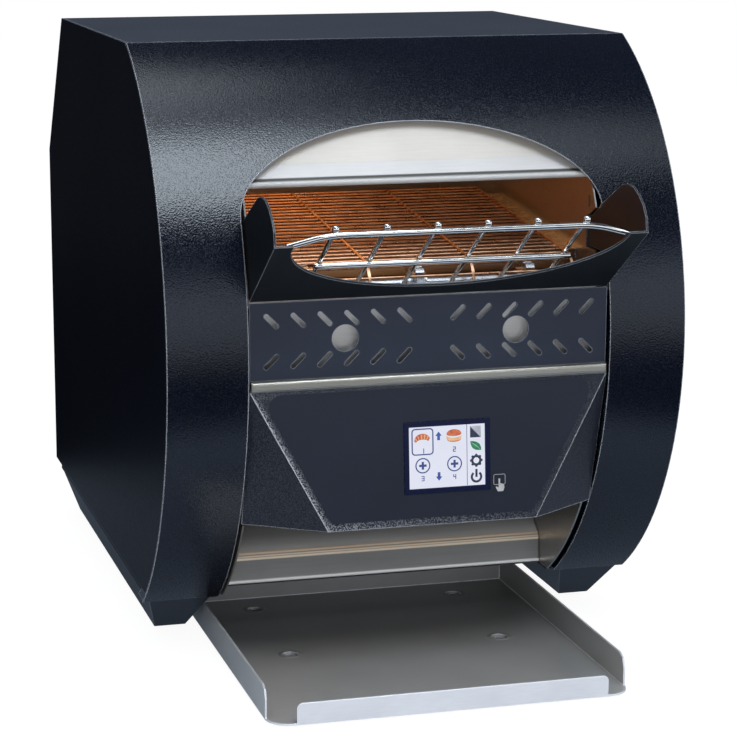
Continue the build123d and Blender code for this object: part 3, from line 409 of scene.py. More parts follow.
stainless = brushed("stainless_sheet", "stainless", (0.44, 0.425, 0.40), (0.52, 0.505, 0.48), 0.26, 0.34,
                    (0.03, 1, 1))
give("right_inner_wall", stainless)
sooted = brushed("sooted_sheet", "stainless", (0.13, 0.12, 0.11), (0.19, 0.175, 0.16), 0.48, 0.60,
                 (0.03, 1, 1), 0.06, 0.6)
give("left_inner_wall", sooted)
shield_sheet = brushed("shield_sheet", "stainless", (0.39, 0.375, 0.36), (0.44, 0.425, 0.41), 0.42, 0.52,
                       (0.03, 1, 1), 0.06, 0.05)
give("heat_shield", shield_sheet)


# ------------------------------------------------------------------ reflectors and hood
# Bright aluminised sheets above, below and behind the belt, browned below by crumbs.
# The hood over the mouth is paler, and its lower edge is rolled over. Its lower part carries a painted bluish
# highlight, crossed by a thin painted shade line.
def spot_on(material):
    """The X, Y and Z of a point on the piece, as three sockets."""
    split = material.node_tree.nodes.new("ShaderNodeSeparateXYZ")
    link(material, material.node_tree.nodes["place"].outputs["Object"], split.inputs[0])
    return split.outputs


def shaded(material, shade):
    """Multiplies a finish's colour by a ramp of shades."""
    base = material.node_tree.nodes["Principled BSDF"].inputs["Base Color"]
    link(material, blended(material, base.links[0].from_socket, shade, 1.0, "MULTIPLY"), base)


mirror_sheet = brushed("reflector_sheet", "reflector", (0.34, 0.285, 0.22), (0.46, 0.385, 0.30), 0.36, 0.50,
                       (0.05, 1, 1))
for name in ("upper_reflector", "cavity_rear_wall"):
    give(name, mirror_sheet)
browned_sheet = brushed("browned_sheet", "reflector", (0.07, 0.045, 0.03), (0.12, 0.08, 0.055), 0.45, 0.60,
                        (0.05, 1, 1), 0.10, 0.8)
give("lower_reflector", browned_sheet)

hood_sheet = brushed("hood_sheet", "reflector", (0.42, 0.385, 0.345), (0.47, 0.43, 0.385), 0.46, 0.54,
                     (0.05, 1, 1), 0.06, 0.35, edge=0.0015)
# The lower part of the hood gets a painted bluish highlight, crossed near its top by a thin painted shade
# line.
hood_painted_light = graded(hood_sheet, worked_out(hood_sheet, "MULTIPLY_ADD", spot_on(hood_sheet)["Z"], 20.0, -6.8),
                   [(0.05, (1.15, 1.22, 1.32)), (0.088, 0.12), (0.102, 0.12), (0.115, (1.02, 1.06, 1.15)),
                    (0.265, (1.00, 1.04, 1.13)), (0.275, 1.0)])
shaded(hood_sheet, hood_painted_light)
give("hood_reflector", hood_sheet)


# ------------------------------------------------------------------ heating rods
# Sheathed rods above and below the belt, their ends held in strips of fired ceramic.
# The upper ones glow orange, with the glow made weaker towards the right as painted shade of that side of the
# cavity, and the lower ones are just warm.
hot_rod = new_finish("hot_sheath", "heater_sheath", metallic=0.2)
heat = grain(hot_rod, 0.03, 2.0)
# The glow is made weaker towards the right: painted shade on that side of the cavity.
along_rod = worked_out(hot_rod, "ADD", spot_on(hot_rod)["X"], 0.5)
dress(hot_rod, graded(hot_rod, heat, [(0.3, (0.10, 0.05, 0.03)), (0.7, (0.18, 0.09, 0.05))]),
      graded(hot_rod, heat, [(0.3, 0.55), (0.7, 0.7)]), [(heat, 0.1, 0.0003)],
      blended(hot_rod, graded(hot_rod, heat, [(0.3, (1.0, 0.43, 0.15)), (0.7, (1.0, 0.52, 0.21))]),
              graded(hot_rod, along_rod, [(0.48, 1.0), (0.55, 0.24)]),
              1.0, "MULTIPLY"), 5.4)
give("upper_heaters", hot_rod)
warm_rod = hot_rod.copy()
warm_rod.name = "warm_sheath"
warm_rod.node_tree.nodes["Principled BSDF"].inputs["Emission Strength"].default_value = 0.10
give("lower_heaters", warm_rod)

ceramic = new_finish("fired_ceramic", "ceramic", specular=0.4)
fired = grain(ceramic, 0.003, 4.0)
dress(ceramic, graded(ceramic, fired, [(0.3, (0.62, 0.58, 0.50)), (0.7, (0.76, 0.73, 0.66))]),
      graded(ceramic, fired, [(0.3, 0.45), (0.7, 0.65)]), [(fired, 0.12, 0.0003)])
give("heater_holders", ceramic)


# ------------------------------------------------------------------ belt and its shafts
# Heat-blued steel wire, linked into a belt that runs over toothed wheels on two drawn
# steel shafts. The shafts turn in bushes of sintered bronze, pressed into the walls.
belt_wire = new_finish("blued_belt_wire", "belt_wire", metallic=1.0)
tint = grain(belt_wire, 0.012)
dress(belt_wire, graded(belt_wire, tint, [(0.3, (0.40, 0.20, 0.11)), (0.7, (0.66, 0.40, 0.25))]),
      graded(belt_wire, tint, [(0.3, 0.24), (0.7, 0.42)]), [(tint, 0.06, 0.0002)])
give("conveyor_belt", belt_wire)

drawn_steel = brushed("drawn_steel", "steel", (0.42, 0.42, 0.43), (0.6, 0.6, 0.61), 0.2, 0.34, (0.05, 1, 1))
for name in ("drive_shaft", "drive_wheels", "drive_collars", "idler_shaft", "idler_wheels", "idler_collars",
             "belt_rails"):
    give(name, drawn_steel)

bronze = new_finish("sintered_bronze", "bushing", metallic=1.0)
pores = grain(bronze, 0.0009, 4.0)
dress(bronze, graded(bronze, pores, [(0.3, (0.22, 0.13, 0.06)), (0.7, (0.50, 0.33, 0.16))]),
      graded(bronze, pores, [(0.3, 0.35), (0.7, 0.55)]), [(pores, 0.2, 0.0003)])
give("shaft_bearings", bronze)


# ------------------------------------------------------------------ chain drive
# A geared motor in a cast alloy shell hangs on a steel bracket in the right bay. An
# oiled roller chain takes its sprocket's turn up to the drive shaft.
chain_steel = new_finish("oiled_chain", "steel", metallic=1.0)
oily = grain(chain_steel, 0.004, 4.0)
dress(chain_steel, graded(chain_steel, oily, [(0.3, (0.10, 0.085, 0.07)), (0.7, (0.30, 0.28, 0.26))]),
      graded(chain_steel, oily, [(0.3, 0.28), (0.7, 0.5)]), [(oily, 0.1, 0.0003)])
give("drive_chain", chain_steel)
for name in ("driven_sprocket", "motor_sprocket", "motor_bracket"):
    give(name, drawn_steel)

cast_alloy = new_finish("cast_alloy", "motor_alloy", metallic=1.0)
cast = grain(cast_alloy, 0.0018, 4.0)
dress(cast_alloy, graded(cast_alloy, cast, [(0.3, (0.30, 0.30, 0.31)), (0.7, (0.45, 0.45, 0.46))]),
      graded(cast_alloy, cast, [(0.3, 0.42), (0.7, 0.6)]), [(cast, 0.25, 0.0005)])
give("gear_motor", cast_alloy)


# ------------------------------------------------------------------ fan and wiring parts
# Black mouldings bought in: the fan behind its steel finger guard, relays, terminals
# and the cord's gland. Steel screws hold the back on, and a green board runs the screen.
black_plastic = new_finish("black_plastic", "black_plastic", specular=0.4)
spark = grain(black_plastic, 0.001)
dress(black_plastic,
      graded(black_plastic, spark, [(0.3, (0.010, 0.010, 0.011)), (0.7, (0.018, 0.018, 0.02))]),
      graded(black_plastic, spark, [(0.3, 0.5), (0.7, 0.38)]), [(spark, 0.15, 0.0003)])
for name in ("fan_frame", "fan_rotor", "cord_gland", "relay_blocks", "terminal_block"):
    give(name, black_plastic)
for name in ("fan_guard", "rear_screws"):
    give(name, drawn_steel)

circuit = new_finish("circuit_board", "board", specular=0.5)
tracks = grain(circuit, 0.004)
dress(circuit, graded(circuit, tracks, [(0.4, (0.01, 0.06, 0.02)), (0.6, (0.02, 0.12, 0.05))]),
      graded(circuit, tracks, [(0.3, 0.35), (0.7, 0.5)]), [(tracks, 0.1, 0.0002)])
give("control_board", circuit)


# ------------------------------------------------------------------ feed ramp
# One black sheet with a smile-shaped cut-out and two folded cheeks, in a smooth coat.
# It hooks over the edge of the mouth and carries the rack.
ramp_black = new_finish("smooth_black", "trim_black", specular=0.35)
dimple = grain(ramp_black, 0.0012, 2.0)
# The lighter sharp edges are a painted highlight.
dress(ramp_black,
      blended(ramp_black,
              graded(ramp_black, grain(ramp_black, 0.06),
                     [(0.3, (0.0030, 0.0046, 0.0060)), (0.7, (0.0045, 0.0062, 0.0080))]),
              (0.20, 0.21, 0.23), edge_highlight(ramp_black, 0.0008)),
      graded(ramp_black, dimple, [(0.3, 0.42), (0.7, 0.34)]), [(dimple, 0.08, 0.0003)], edge=0.0008)
give("feed_ramp", ramp_black)


# ------------------------------------------------------------------ slot panel and trim rail
# A pierced sheet that lets cool air in under the mouth, in a blue-black coat. A satin
# metal rail is clipped along its foot and covers the joint with the head.
duct_blue = new_finish("duct_blue", "trim_black", specular=0.42)
duct_skin = grain(duct_blue, 0.0010, 2.0)
# The lighter sharp edges are a painted highlight.
dress(duct_blue,
      blended(duct_blue,
              graded(duct_blue, grain(duct_blue, 0.05),
                     [(0.3, (0.0105, 0.0140, 0.0260)), (0.7, (0.0135, 0.0175, 0.0310))]),
              (0.24, 0.25, 0.28), edge_highlight(duct_blue, 0.0008)),
      graded(duct_blue, duct_skin, [(0.3, 0.50), (0.7, 0.42)]), [(duct_skin, 0.10, 0.0002)], edge=0.0006)
give("slot_panel", duct_blue)

satin = brushed("satin_rail", "rail_satin", (0.58, 0.535, 0.455), (0.68, 0.63, 0.54), 0.38, 0.46,
                (0.02, 1, 1), edge=0.0008)
give("trim_rail", satin)


# ------------------------------------------------------------------ control housing
# A sheet head with two slanting corner facets, in rough speckled paint. The flecks are painted brightest
# on the rim round the flat face and fade towards the right, as glints lit from the left, and painted
# highlights run along the facets' edges.
speckled = new_finish("speckled_black", "trim_black", specular=0.29)
speck = grain(speckled, 0.0011, 1.0, 0.4)
fleck = graded(speckled, grain(speckled, 0.0008, 1.0, 0.4), [(0.49, 0.0), (0.55, 1.0)])
on_head = spot_on(speckled)
head_normal = speckled.node_tree.nodes.new("ShaderNodeSeparateXYZ")
link(speckled, speckled.node_tree.nodes.new("ShaderNodeNewGeometry").outputs["True Normal"],
     head_normal.inputs[0])
face_only = graded(speckled, worked_out(speckled, "ABSOLUTE", head_normal.outputs["X"]),
                   [(0.02, 1.0), (0.10, 0.0)])
# The flecks fade towards the right: painted glints of the light from the left.
glint_fade_to_right = graded(speckled, worked_out(speckled, "MULTIPLY_ADD", on_head["X"], 3.0, 0.5),
                  [(0.30, 1.0), (0.75, 0.15)])
under_rail = graded(speckled, worked_out(speckled, "MULTIPLY", on_head["Z"], 4.0),
                    [(0.80, 1.0), (0.82, 0.25)])
# Flecks are brightest near the rim's edges, as painted glints.
rim = worked_out(speckled, "MULTIPLY", worked_out(speckled, "MULTIPLY", face_only, glint_fade_to_right), under_rail)
rim = worked_out(speckled, "MULTIPLY", rim, edge_highlight(speckled, 0.0070, ((0.0003, 0.0), (0.0012, 1.0))))
flecks = worked_out(speckled, "MULTIPLY", fleck, worked_out(speckled, "MAXIMUM", 0.10, rim))
# A painted highlight along the facets' edges.
edge_highlight_line = edge_highlight(speckled, 0.0010, ((0.004, 0.0), (0.014, 1.0), (0.05, 1.0), (0.10, 0.1)))
dress(speckled,
      blended(speckled, blended(speckled, (0.0050, 0.0070, 0.0135), (0.20, 0.205, 0.22), flecks),
              (0.56, 0.57, 0.59), edge_highlight_line),
      graded(speckled, speck, [(0.3, 0.46), (0.7, 0.34)]), [(speck, 0.30, 0.0003)], edge=0.0012)
give("control_housing", speckled)


# ------------------------------------------------------------------ touch screen
# A pale lit panel behind glass, in a thin dark blue plastic frame that is glued into
# the window of the head.
bezel_blue = new_finish("bezel_blue", "bezel", specular=0.2)
rimmed = grain(bezel_blue, 0.0015, 2.0)
dress(bezel_blue,
      graded(bezel_blue, rimmed, [(0.3, (0.0015, 0.0030, 0.018)), (0.7, (0.0020, 0.0045, 0.026))]),
      graded(bezel_blue, rimmed, [(0.3, 0.30), (0.7, 0.22)]), [(rimmed, 0.05, 0.0002)], edge=0.0006)
give("screen_bezel", bezel_blue)

screen_glass = new_finish("screen_glass", "screen", specular=0.3)
pixels = grain(screen_glass, 0.03, 2.0)
dress(screen_glass, graded(screen_glass, pixels, [(0.3, (0.02, 0.02, 0.025)), (0.7, (0.03, 0.03, 0.035))]),
      graded(screen_glass, pixels, [(0.3, 0.26), (0.7, 0.34)]), (),
      graded(screen_glass, pixels, [(0.3, (0.76, 0.78, 0.90)), (0.7, (0.80, 0.82, 0.93))]), 0.90)
give("touch_screen", screen_glass)


# ------------------------------------------------------------------ feed rack
# Chromed wire: a bent top bar that rests on the ramp's corners, a straight lower
# bar, and six wires welded over them that end in small balls.
chrome = new_finish("bright_chrome", "rack_chrome", metallic=1.0)
haze = grain(chrome, 0.006)
dress(chrome, graded(chrome, haze, [(0.3, (0.78, 0.76, 0.73)), (0.7, (0.92, 0.90, 0.86))]),
      graded(chrome, haze, [(0.3, 0.07), (0.7, 0.14)]), [(haze, 0.02, 0.0002)])
give("feed_rack", chrome)


def bent_line(points, bend):
    """The line through the points, with each corner eased into a curve."""
    corners = [Vector(point) for point in points]
    line = [corners[0]]
    for before, corner, after in zip(corners, corners[1:], corners[2:]):
        cut = min(bend, 0.45 * (corner - before).length, 0.45 * (after - corner).length)
        start = corner + (before - corner).normalized() * cut
        end = corner + (after - corner).normalized() * cut
        for step in range(9):
            part = step / 8
            line.append(start * (1 - part) ** 2 + corner * 2 * part * (1 - part) + end * part ** 2)
    line.append(corners[-1])
    return line


def add_rod(shape, line, radius, sides=18):
    """A round rod with domed ends along a line, added to a bmesh."""
    first = (line[1] - line[0]).normalized()
    last = (line[-1] - line[-2]).normalized()
    spine = [(line[0] - first * radius * math.cos(a), radius * math.sin(a)) for a in (0.3, 0.7, 1.1)]
    spine += [(point, radius) for point in line]
    spine += [(line[-1] + last * radius * math.cos(a), radius * math.sin(a)) for a in (1.1, 0.7, 0.3)]
    across_way = first.orthogonal().normalized()
    rings = []
    for i, (point, reach_out) in enumerate(spine):
        ahead_way = spine[min(i + 1, len(spine) - 1)][0] - spine[max(i - 1, 0)][0]
        ahead_way.normalize()
        across_way = (across_way - ahead_way * across_way.dot(ahead_way)).normalized()
        third = ahead_way.cross(across_way)
        rings.append([shape.verts.new(point + (across_way * math.cos(t) + third * math.sin(t)) * reach_out)
                      for t in (2 * math.pi * k / sides for k in range(sides))])
    for near, far in zip(rings, rings[1:]):
        for k in range(sides):
            shape.faces.new((near[k], near[(k + 1) % sides], far[(k + 1) % sides], far[k]))
    shape.faces.new(list(reversed(rings[0])))
    shape.faces.new(rings[-1])


def add_ball(shape, centre, radius):
    """A small ball, added to a bmesh."""
    bmesh.ops.create_uvsphere(shape, u_segments=20, v_segments=14, radius=radius,
                              matrix=Matrix.Translation(centre))


def make_piece(name, shape, material, stands_for=(), smooth=False):
    """Turns a bmesh into a named object in one material, riding on the case."""
    mesh = bpy.data.meshes.new(name)
    bmesh.ops.recalc_face_normals(shape, faces=shape.faces)
    shape.to_mesh(mesh)
    shape.free()
    piece = bpy.data.objects.new(name, mesh)
    bpy.context.scene.collection.objects.link(piece)
    mesh.materials.append(material)
    for face in mesh.polygons:
        face.use_smooth = smooth
    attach(piece, "case")
    if stands_for:
        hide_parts(*stands_for)
    return piece


rack_top_y, rack_top_z = -0.2730, 0.3212
rack_slope = 0.674              # fall of the wires for each metre inwards
bar_apart, wire_pitch = 0.0390, 0.0343
bar_radius, wire_radius, ball_radius = 0.0021, 0.0016, 0.0025
rack = bmesh.new()
add_rod(rack, bent_line([(-0.1169, -0.2690, 0.3140), (-0.0908, rack_top_y, rack_top_z),
                         (0.0908, rack_top_y, rack_top_z), (0.1169, -0.2690, 0.3140)], 0.012), bar_radius)
low_bar_y = rack_top_y + bar_apart
low_bar_z = rack_top_z - bar_apart * rack_slope
add_rod(rack, [Vector((-0.0885, low_bar_y, low_bar_z)), Vector((0.0885, low_bar_y, low_bar_z))], bar_radius)
for i in range(6):
    wire_x = (i - 2.5) * wire_pitch
    top_end = Vector((wire_x, rack_top_y + 0.0006, rack_top_z + 0.0037))
    low_end = Vector((wire_x, -0.1920, rack_top_z + 0.0027 - rack_slope * 0.0792))
    add_rod(rack, [low_end, top_end], wire_radius)
    add_ball(rack, top_end, ball_radius)
make_piece("rack_wires", rack, chrome, stands_for=("feed_rack",), smooth=True)


# ------------------------------------------------------------------ discharge slide
# One stainless sheet between the inner walls. It falls from behind the belt to a
# short upright lip, and three small ridges pressed along the bend keep it straight.
slide_half, slide_gauge = 0.1244, 0.0012
slide_sheet = brushed("slide_sheet", "stainless", (0.66, 0.64, 0.60), (0.76, 0.74, 0.70), 0.34, 0.44,
                      (0.02, 1, 1), 0.06, 0.3, edge=0.0022)
up_slide = worked_out(slide_sheet, "MULTIPLY_ADD", spot_on(slide_sheet)["Z"], 10.0, -0.3)
# The sheet's colour is painted with light and shade by height: a painted highlight on the lip's lower edge,
# coppery painted reflections of the heaters on the ridges, and painted shadow of the head, darkest towards
# the top.
slide_painted_light = graded(slide_sheet, up_slide,
                     [(0.080, 1.25), (0.090, 0.32), (0.160, 0.28), (0.233, 0.25), (0.240, (1.10, 0.93, 0.73)),
                      (0.250, (1.02, 0.85, 0.66)), (0.254, 0.34), (0.258, (1.00, 0.80, 0.60)),
                      (0.265, (1.00, 0.80, 0.60)), (0.270, 0.30), (0.277, (0.92, 0.72, 0.54)),
                      (0.286, (0.92, 0.72, 0.54)), (0.298, 0.62), (0.330, 0.42), (0.380, 0.24), (0.450, 0.15),
                      (0.600, 0.08)])
shaded(slide_sheet, slide_painted_light)
give("discharge_slide", slide_sheet)
slide_line = [(-0.0936, 0.0362), (-0.0940, 0.0370), (-0.0940, 0.0380), (-0.0936, 0.0388), (-0.0931, 0.0515),
              (-0.0929, 0.0533), (-0.0931, 0.0539), (-0.0931, 0.0545), (-0.0927, 0.0549), (-0.0924, 0.0555),
              (-0.0926, 0.0561), (-0.0924, 0.0567), (-0.0919, 0.0570), (-0.0914, 0.0575), (-0.0915, 0.0582),
              (-0.0911, 0.0587), (-0.0904, 0.0589), (-0.0890, 0.0599), (-0.0480, 0.0914), (0.1598, 0.2158)]
slide = bmesh.new()
left_end, right_end = [[slide.verts.new((x, y, z)) for y, z in slide_line] for x in (-slide_half, slide_half)]
for i in range(len(slide_line) - 1):
    slide.faces.new((left_end[i], right_end[i], right_end[i + 1], left_end[i + 1]))
bent_slide = make_piece("bent_slide", slide, slide_sheet, stands_for=("discharge_slide",))
sheet = bent_slide.modifiers.new("sheet_gauge", "SOLIDIFY")
sheet.thickness = slide_gauge
sheet.offset = -1.0


# ------------------------------------------------------------------ screen picture
# The touch screen shows plain icons: a framed croissant, a bun, two add
# buttons, two arrows, and a column with a shade, a leaf, a gear and a power mark.
face_top = Vector((0.0, -0.2093, 0.2067))
face_up = Vector((0.0, 0.0082, 0.0991)).normalized()
face_out = Vector((1.0, 0.0, 0.0)).cross(face_up)


def on_face(x, y, out):
    """A point on the sloping control face, in metres across, down from its top and out of it."""
    return face_top + Vector((x, 0.0, 0.0)) - face_up * y + face_out * out


def lit_ink(name, low, high, slot_name="screen", glow=0.9):
    """Ink that glows a little: on the screen the lit panel shows through it, and on the film the glow is
    painted brightness.
    """
    ink = new_finish(name, slot_name, specular=0.3)
    dots = grain(ink, 0.004, 2.0)
    dress(ink, graded(ink, dots, [(0.3, (0.01, 0.01, 0.012)), (0.7, (0.016, 0.016, 0.02))]),
          graded(ink, dots, [(0.3, 0.26), (0.7, 0.34)]), (),
          graded(ink, dots, [(0.35, low), (0.65, high)]), glow)
    return ink


def plate(shape, outline, out, thick=0.00004):
    """A thin flat prism on the control face; the outline is in millimetres, y downwards."""
    low = [shape.verts.new(on_face(x / 1000, y / 1000, out)) for x, y in outline]
    high = [shape.verts.new(on_face(x / 1000, y / 1000, out + thick)) for x, y in outline]
    shape.faces.new(low)
    shape.faces.new(list(reversed(high)))
    for i in range(len(low)):
        j = (i + 1) % len(low)
        shape.faces.new((low[j], low[i], high[i], high[j]))


def loop(shape, outer, inner, out, thick=0.00004):
    """A thin flat band between two outlines that have as many points."""
    rings = [[shape.verts.new(on_face(x / 1000, y / 1000, height)) for x, y in outline]
             for outline, height in ((outer, out), (inner, out), (inner, out + thick), (outer, out + thick))]
    for ring, after in zip(rings, rings[1:] + rings[:1]):
        for i in range(len(ring)):
            j = (i + 1) % len(ring)
            shape.faces.new((ring[i], ring[j], after[j], after[i]))


def disc(x, y, rx, ry=None, start=0.0, end=360.0, count=36):
    """Points of an ellipse or of a part of one."""
    ry = rx if ry is None else ry
    steps = count if end - start >= 360 else count + 1
    return [(x + rx * math.cos(math.radians(start + (end - start) * i / count)),
             y + ry * math.sin(math.radians(start + (end - start) * i / count))) for i in range(steps)]


def rounded(x, y, wide, tall, radius):
    """Points of a rectangle with round corners around a centre."""
    points = []
    for sx, sy, a in ((1, -1, -90), (1, 1, 0), (-1, 1, 90), (-1, -1, 180)):
        points += disc(x + sx * (wide / 2 - radius), y + sy * (tall / 2 - radius), radius,
                       start=a, end=a + 90, count=6)
    return points


screen_x, screen_y = 10.4, 52.0     # middle of the screen, millimetres on the face
picture_wide, picture_tall = 55.0, 43.0
glass_out, next_coat = 0.00003, 0.00005


def placed(points):
    """Moves points of the picture, measured from its top left corner, to their place on the face."""
    return [(screen_x - picture_wide / 2 + x, screen_y - picture_tall / 2 + y) for x, y in points]


navy_marks = bmesh.new()
loop(navy_marks, placed(rounded(10.0, 10.5, 15.8, 18.6, 2.6)), placed(rounded(10.0, 10.5, 14.1, 16.9, 1.8)),
     glass_out)
plate(navy_marks, placed([(41.8, 0.2), (42.2, 0.2), (42.2, 42.8), (41.8, 42.8)]), glass_out)
plus_sign = [(-0.8, -2.7), (0.8, -2.7), (0.8, -0.8), (2.7, -0.8), (2.7, 0.8), (0.8, 0.8), (0.8, 2.7),
             (-0.8, 2.7), (-0.8, 0.8), (-2.7, 0.8), (-2.7, -0.8), (-0.8, -0.8)]
for x, y in ((10.0, 27.1), (32.9, 27.1)):
    loop(navy_marks, placed(disc(x, y, 5.4)), placed(disc(x, y, 4.55)), glass_out)
    plate(navy_marks, placed([(x + across, y + along) for across, along in plus_sign]), glass_out)
digit_bars = {"1": "bc", "2": "abged", "3": "abgcd", "4": "fgbc"}
bar_places = {"a": (0, 0, 1, 0), "b": (1, 0, 1, 1), "c": (1, 1, 1, 2), "d": (0, 2, 1, 2),
              "e": (0, 1, 0, 2), "f": (0, 0, 0, 1), "g": (0, 1, 1, 1)}
bar_long, bar_half = 1.5, 0.28
for digit, x, y in (("1", 10.0, 15.4), ("2", 32.9, 15.4), ("3", 10.0, 34.6), ("4", 32.9, 34.6)):
    for bar in digit_bars[digit]:
        x0, y0, x1, y1 = [end * bar_long for end in bar_places[bar]]
        x0, x1 = x + x0 - bar_long / 2 - bar_half, x + x1 - bar_long / 2 + bar_half
        y0, y1 = y + y0 - bar_half, y + y1 + bar_half
        plate(navy_marks, placed([(x0, y0), (x1, y0), (x1, y1), (x0, y1)]),
              glass_out + (next_coat if bar in "bdf" else 0.0))
arrow_marks = bmesh.new()
for y, way in ((7.1, 1), (35.2, -1)):
    plate(arrow_marks, placed([(21.6, y - 3.1 * way), (23.9, y - 0.1 * way), (22.6, y - 0.1 * way),
                               (22.6, y + 2.9 * way), (20.6, y + 2.9 * way), (20.6, y - 0.1 * way),
                               (19.3, y - 0.1 * way)]), glass_out)
dark_marks = bmesh.new()
column_x, gear_y, power_y = 48.7, 25.7, 37.2
gear_outer = []
for i in range(64):
    gear_radius = 4.6 if i % 8 < 4 else 3.8     # eight teeth
    gear_outer.append((column_x + gear_radius * math.cos(2 * math.pi * (i - 1.5) / 64),
                       gear_y + gear_radius * math.sin(2 * math.pi * (i - 1.5) / 64)))
loop(dark_marks, placed(gear_outer), placed(disc(column_x, gear_y, 2.1, start=-8.4, end=351.6, count=64)),
     glass_out)
power_ring = disc(column_x, power_y, 4.2, start=-52, end=232, count=40)
power_ring += disc(column_x, power_y, 2.6, start=-52, end=232, count=40)[::-1]
plate(dark_marks, placed(power_ring), glass_out)
plate(dark_marks, placed([(47.9, 31.8), (49.5, 31.8), (49.5, 37.4), (47.9, 37.4)]), glass_out)
plate(dark_marks, placed([(44.4, 1.7), (52.1, 9.6), (44.4, 9.6)]), glass_out)
pale_marks = bmesh.new()
plate(pale_marks, placed([(44.4, 1.6), (52.2, 1.6), (52.2, 9.6)]), glass_out)
leaf_marks = bmesh.new()
leaf_top = [(44.5, 12.0), (46.9, 12.2), (49.3, 12.9), (51.2, 14.3), (52.2, 16.3), (52.4, 18.6)]
leaf_low = [(50.4, 18.6), (48.2, 18.3), (46.2, 17.1), (45.1, 15.3), (44.6, 13.6)]
plate(leaf_marks, placed(leaf_top + leaf_low), glass_out)
vein_marks = bmesh.new()
plate(vein_marks, placed([(45.4, 13.0), (49.2, 15.5), (51.4, 17.7), (51.2, 17.9), (48.9, 15.9),
                          (45.3, 13.3)]), glass_out + next_coat)
bun_marks = bmesh.new()
plate(bun_marks, placed(disc(32.7, 6.2, 5.4, 3.2, 180, 360) + disc(32.7, 6.2, 5.4, 1.6, 0, 180)), glass_out)
gold_marks = bmesh.new()
plate(gold_marks, placed([(27.3, 7.2)] + disc(32.7, 7.0, 5.3, 1.9, 170, 10, 18)
                         + [(38.1, 7.2)] + disc(32.7, 9.4, 5.3, 2.3, 0, 180, 18)), glass_out + next_coat)
plate(bun_marks, placed(disc(32.7, 10.0, 5.0, 1.8, 0, 180) + disc(32.7, 9.9, 5.0, 1.1, 180, 0)),
      glass_out + 2 * next_coat)
along_arch = [i / 9 - 1 for i in range(19)]
arch_out = [(9.9 + (6.6 - 0.6 * abs(t)) * math.sin(math.radians(74 * t - 8)),
             12.0 - 7.2 * math.cos(math.radians(66 * t - 8))) for t in along_arch]
arch_in = [(9.9 + 4.4 * math.sin(math.radians(80 * t - 8)),
            12.0 - 3.1 * math.cos(math.radians(62 * t - 8))) for t in along_arch]
plate(bun_marks, placed(arch_out + arch_in[::-1]), glass_out)
for i in (3, 6, 9, 12, 15):
    (xa, ya), (xb, yb) = arch_out[i], arch_in[i]
    plate(gold_marks, placed([(xa - 0.3, ya + 0.4), (xa + 0.4, ya + 0.4), (xb + 0.4, yb - 0.4),
                              (xb - 0.3, yb - 0.4)]), glass_out + next_coat)

for name, marks, ink, low, high in (
        ("screen_buttons", navy_marks, "navy_ink", (0.022, 0.050, 0.20), (0.030, 0.065, 0.25)),
        ("screen_arrows", arrow_marks, "blue_ink", (0.035, 0.08, 0.34), (0.05, 0.11, 0.42)),
        ("screen_side_marks", dark_marks, "dark_ink", (0.012, 0.020, 0.050), (0.020, 0.030, 0.065)),
        ("screen_shade", pale_marks, "pale_ink", (0.34, 0.37, 0.44), (0.50, 0.53, 0.62)),
        ("screen_leaf", leaf_marks, "leaf_ink", (0.012, 0.13, 0.06), (0.02, 0.26, 0.11)),
        ("screen_vein", vein_marks, "vein_ink", (0.25, 0.55, 0.35), (0.35, 0.65, 0.42)),
        ("screen_bread", bun_marks, "crust_ink", (0.50, 0.10, 0.03), (0.72, 0.20, 0.08)),
        ("screen_crumb", gold_marks, "crumb_ink", (0.75, 0.42, 0.20), (0.85, 0.60, 0.36))):
    make_piece(name, marks, lit_ink(ink, low, high))


# ------------------------------------------------------------------ overlay film
# A dark plastic film stuck on the head's face. It reaches to a few millimetres from
# the edges, leaves the screen's frame free, and has a small touch mark printed on it.
film = new_finish("dark_film", "film", specular=0.45)
matte = grain(film, 0.0008, 2.0)
dress(film,
      graded(film, grain(film, 0.05), [(0.3, (0.0036, 0.0052, 0.0130)), (0.7, (0.0050, 0.0070, 0.0165))]),
      graded(film, matte, [(0.3, 0.46), (0.7, 0.40)]), [(matte, 0.06, 0.0002)])
give("overlay_film", film)

film_corners = ((105.7, 12.0, 9.0, -90, 28), (71.3, 92.5, 1.5, 28, 90),
                (-71.3, 92.5, 1.5, 90, 152), (-105.7, 12.0, 9.0, 152, 270))
film_edge = [point for x, y, radius, start, end in film_corners
             for point in disc(x, y, radius, start=start, end=end, count=6)]
film_thick, mark_out = 0.00035, 0.00038
wide_film = bmesh.new()
loop(wide_film, film_edge, rounded(screen_x, screen_y, 62.4, 50.4, 0.3), 0.0, film_thick)
make_piece("wide_film", wide_film, film, stands_for=("overlay_film",))

touch_mark = bmesh.new()
touch_x, touch_y = 48.2, 70.6
loop(touch_mark, rounded(touch_x, touch_y, 8.6, 7.4, 1.0), rounded(touch_x, touch_y, 8.0, 6.8, 0.7), mark_out)
finger = [(-0.7, -0.6), (0.5, -0.6), (0.5, 2.8), (3.2, 3.4), (3.6, 6.0), (2.6, 8.4), (-1.2, 8.4), (-2.8, 5.4),
          (-2.2, 4.8), (-0.7, 5.8)]
plate(touch_mark, [(touch_x + x, touch_y + y) for x, y in finger], mark_out + next_coat)
# The white print is made to glow, a painted brightness, though it lies on the film outside the lit screen.
painted_glow_print = lit_ink("painted_glow_print", (0.50, 0.51, 0.55), (0.62, 0.63, 0.68), "film", 0.7)
make_piece("touch_mark", touch_mark, painted_glow_print)
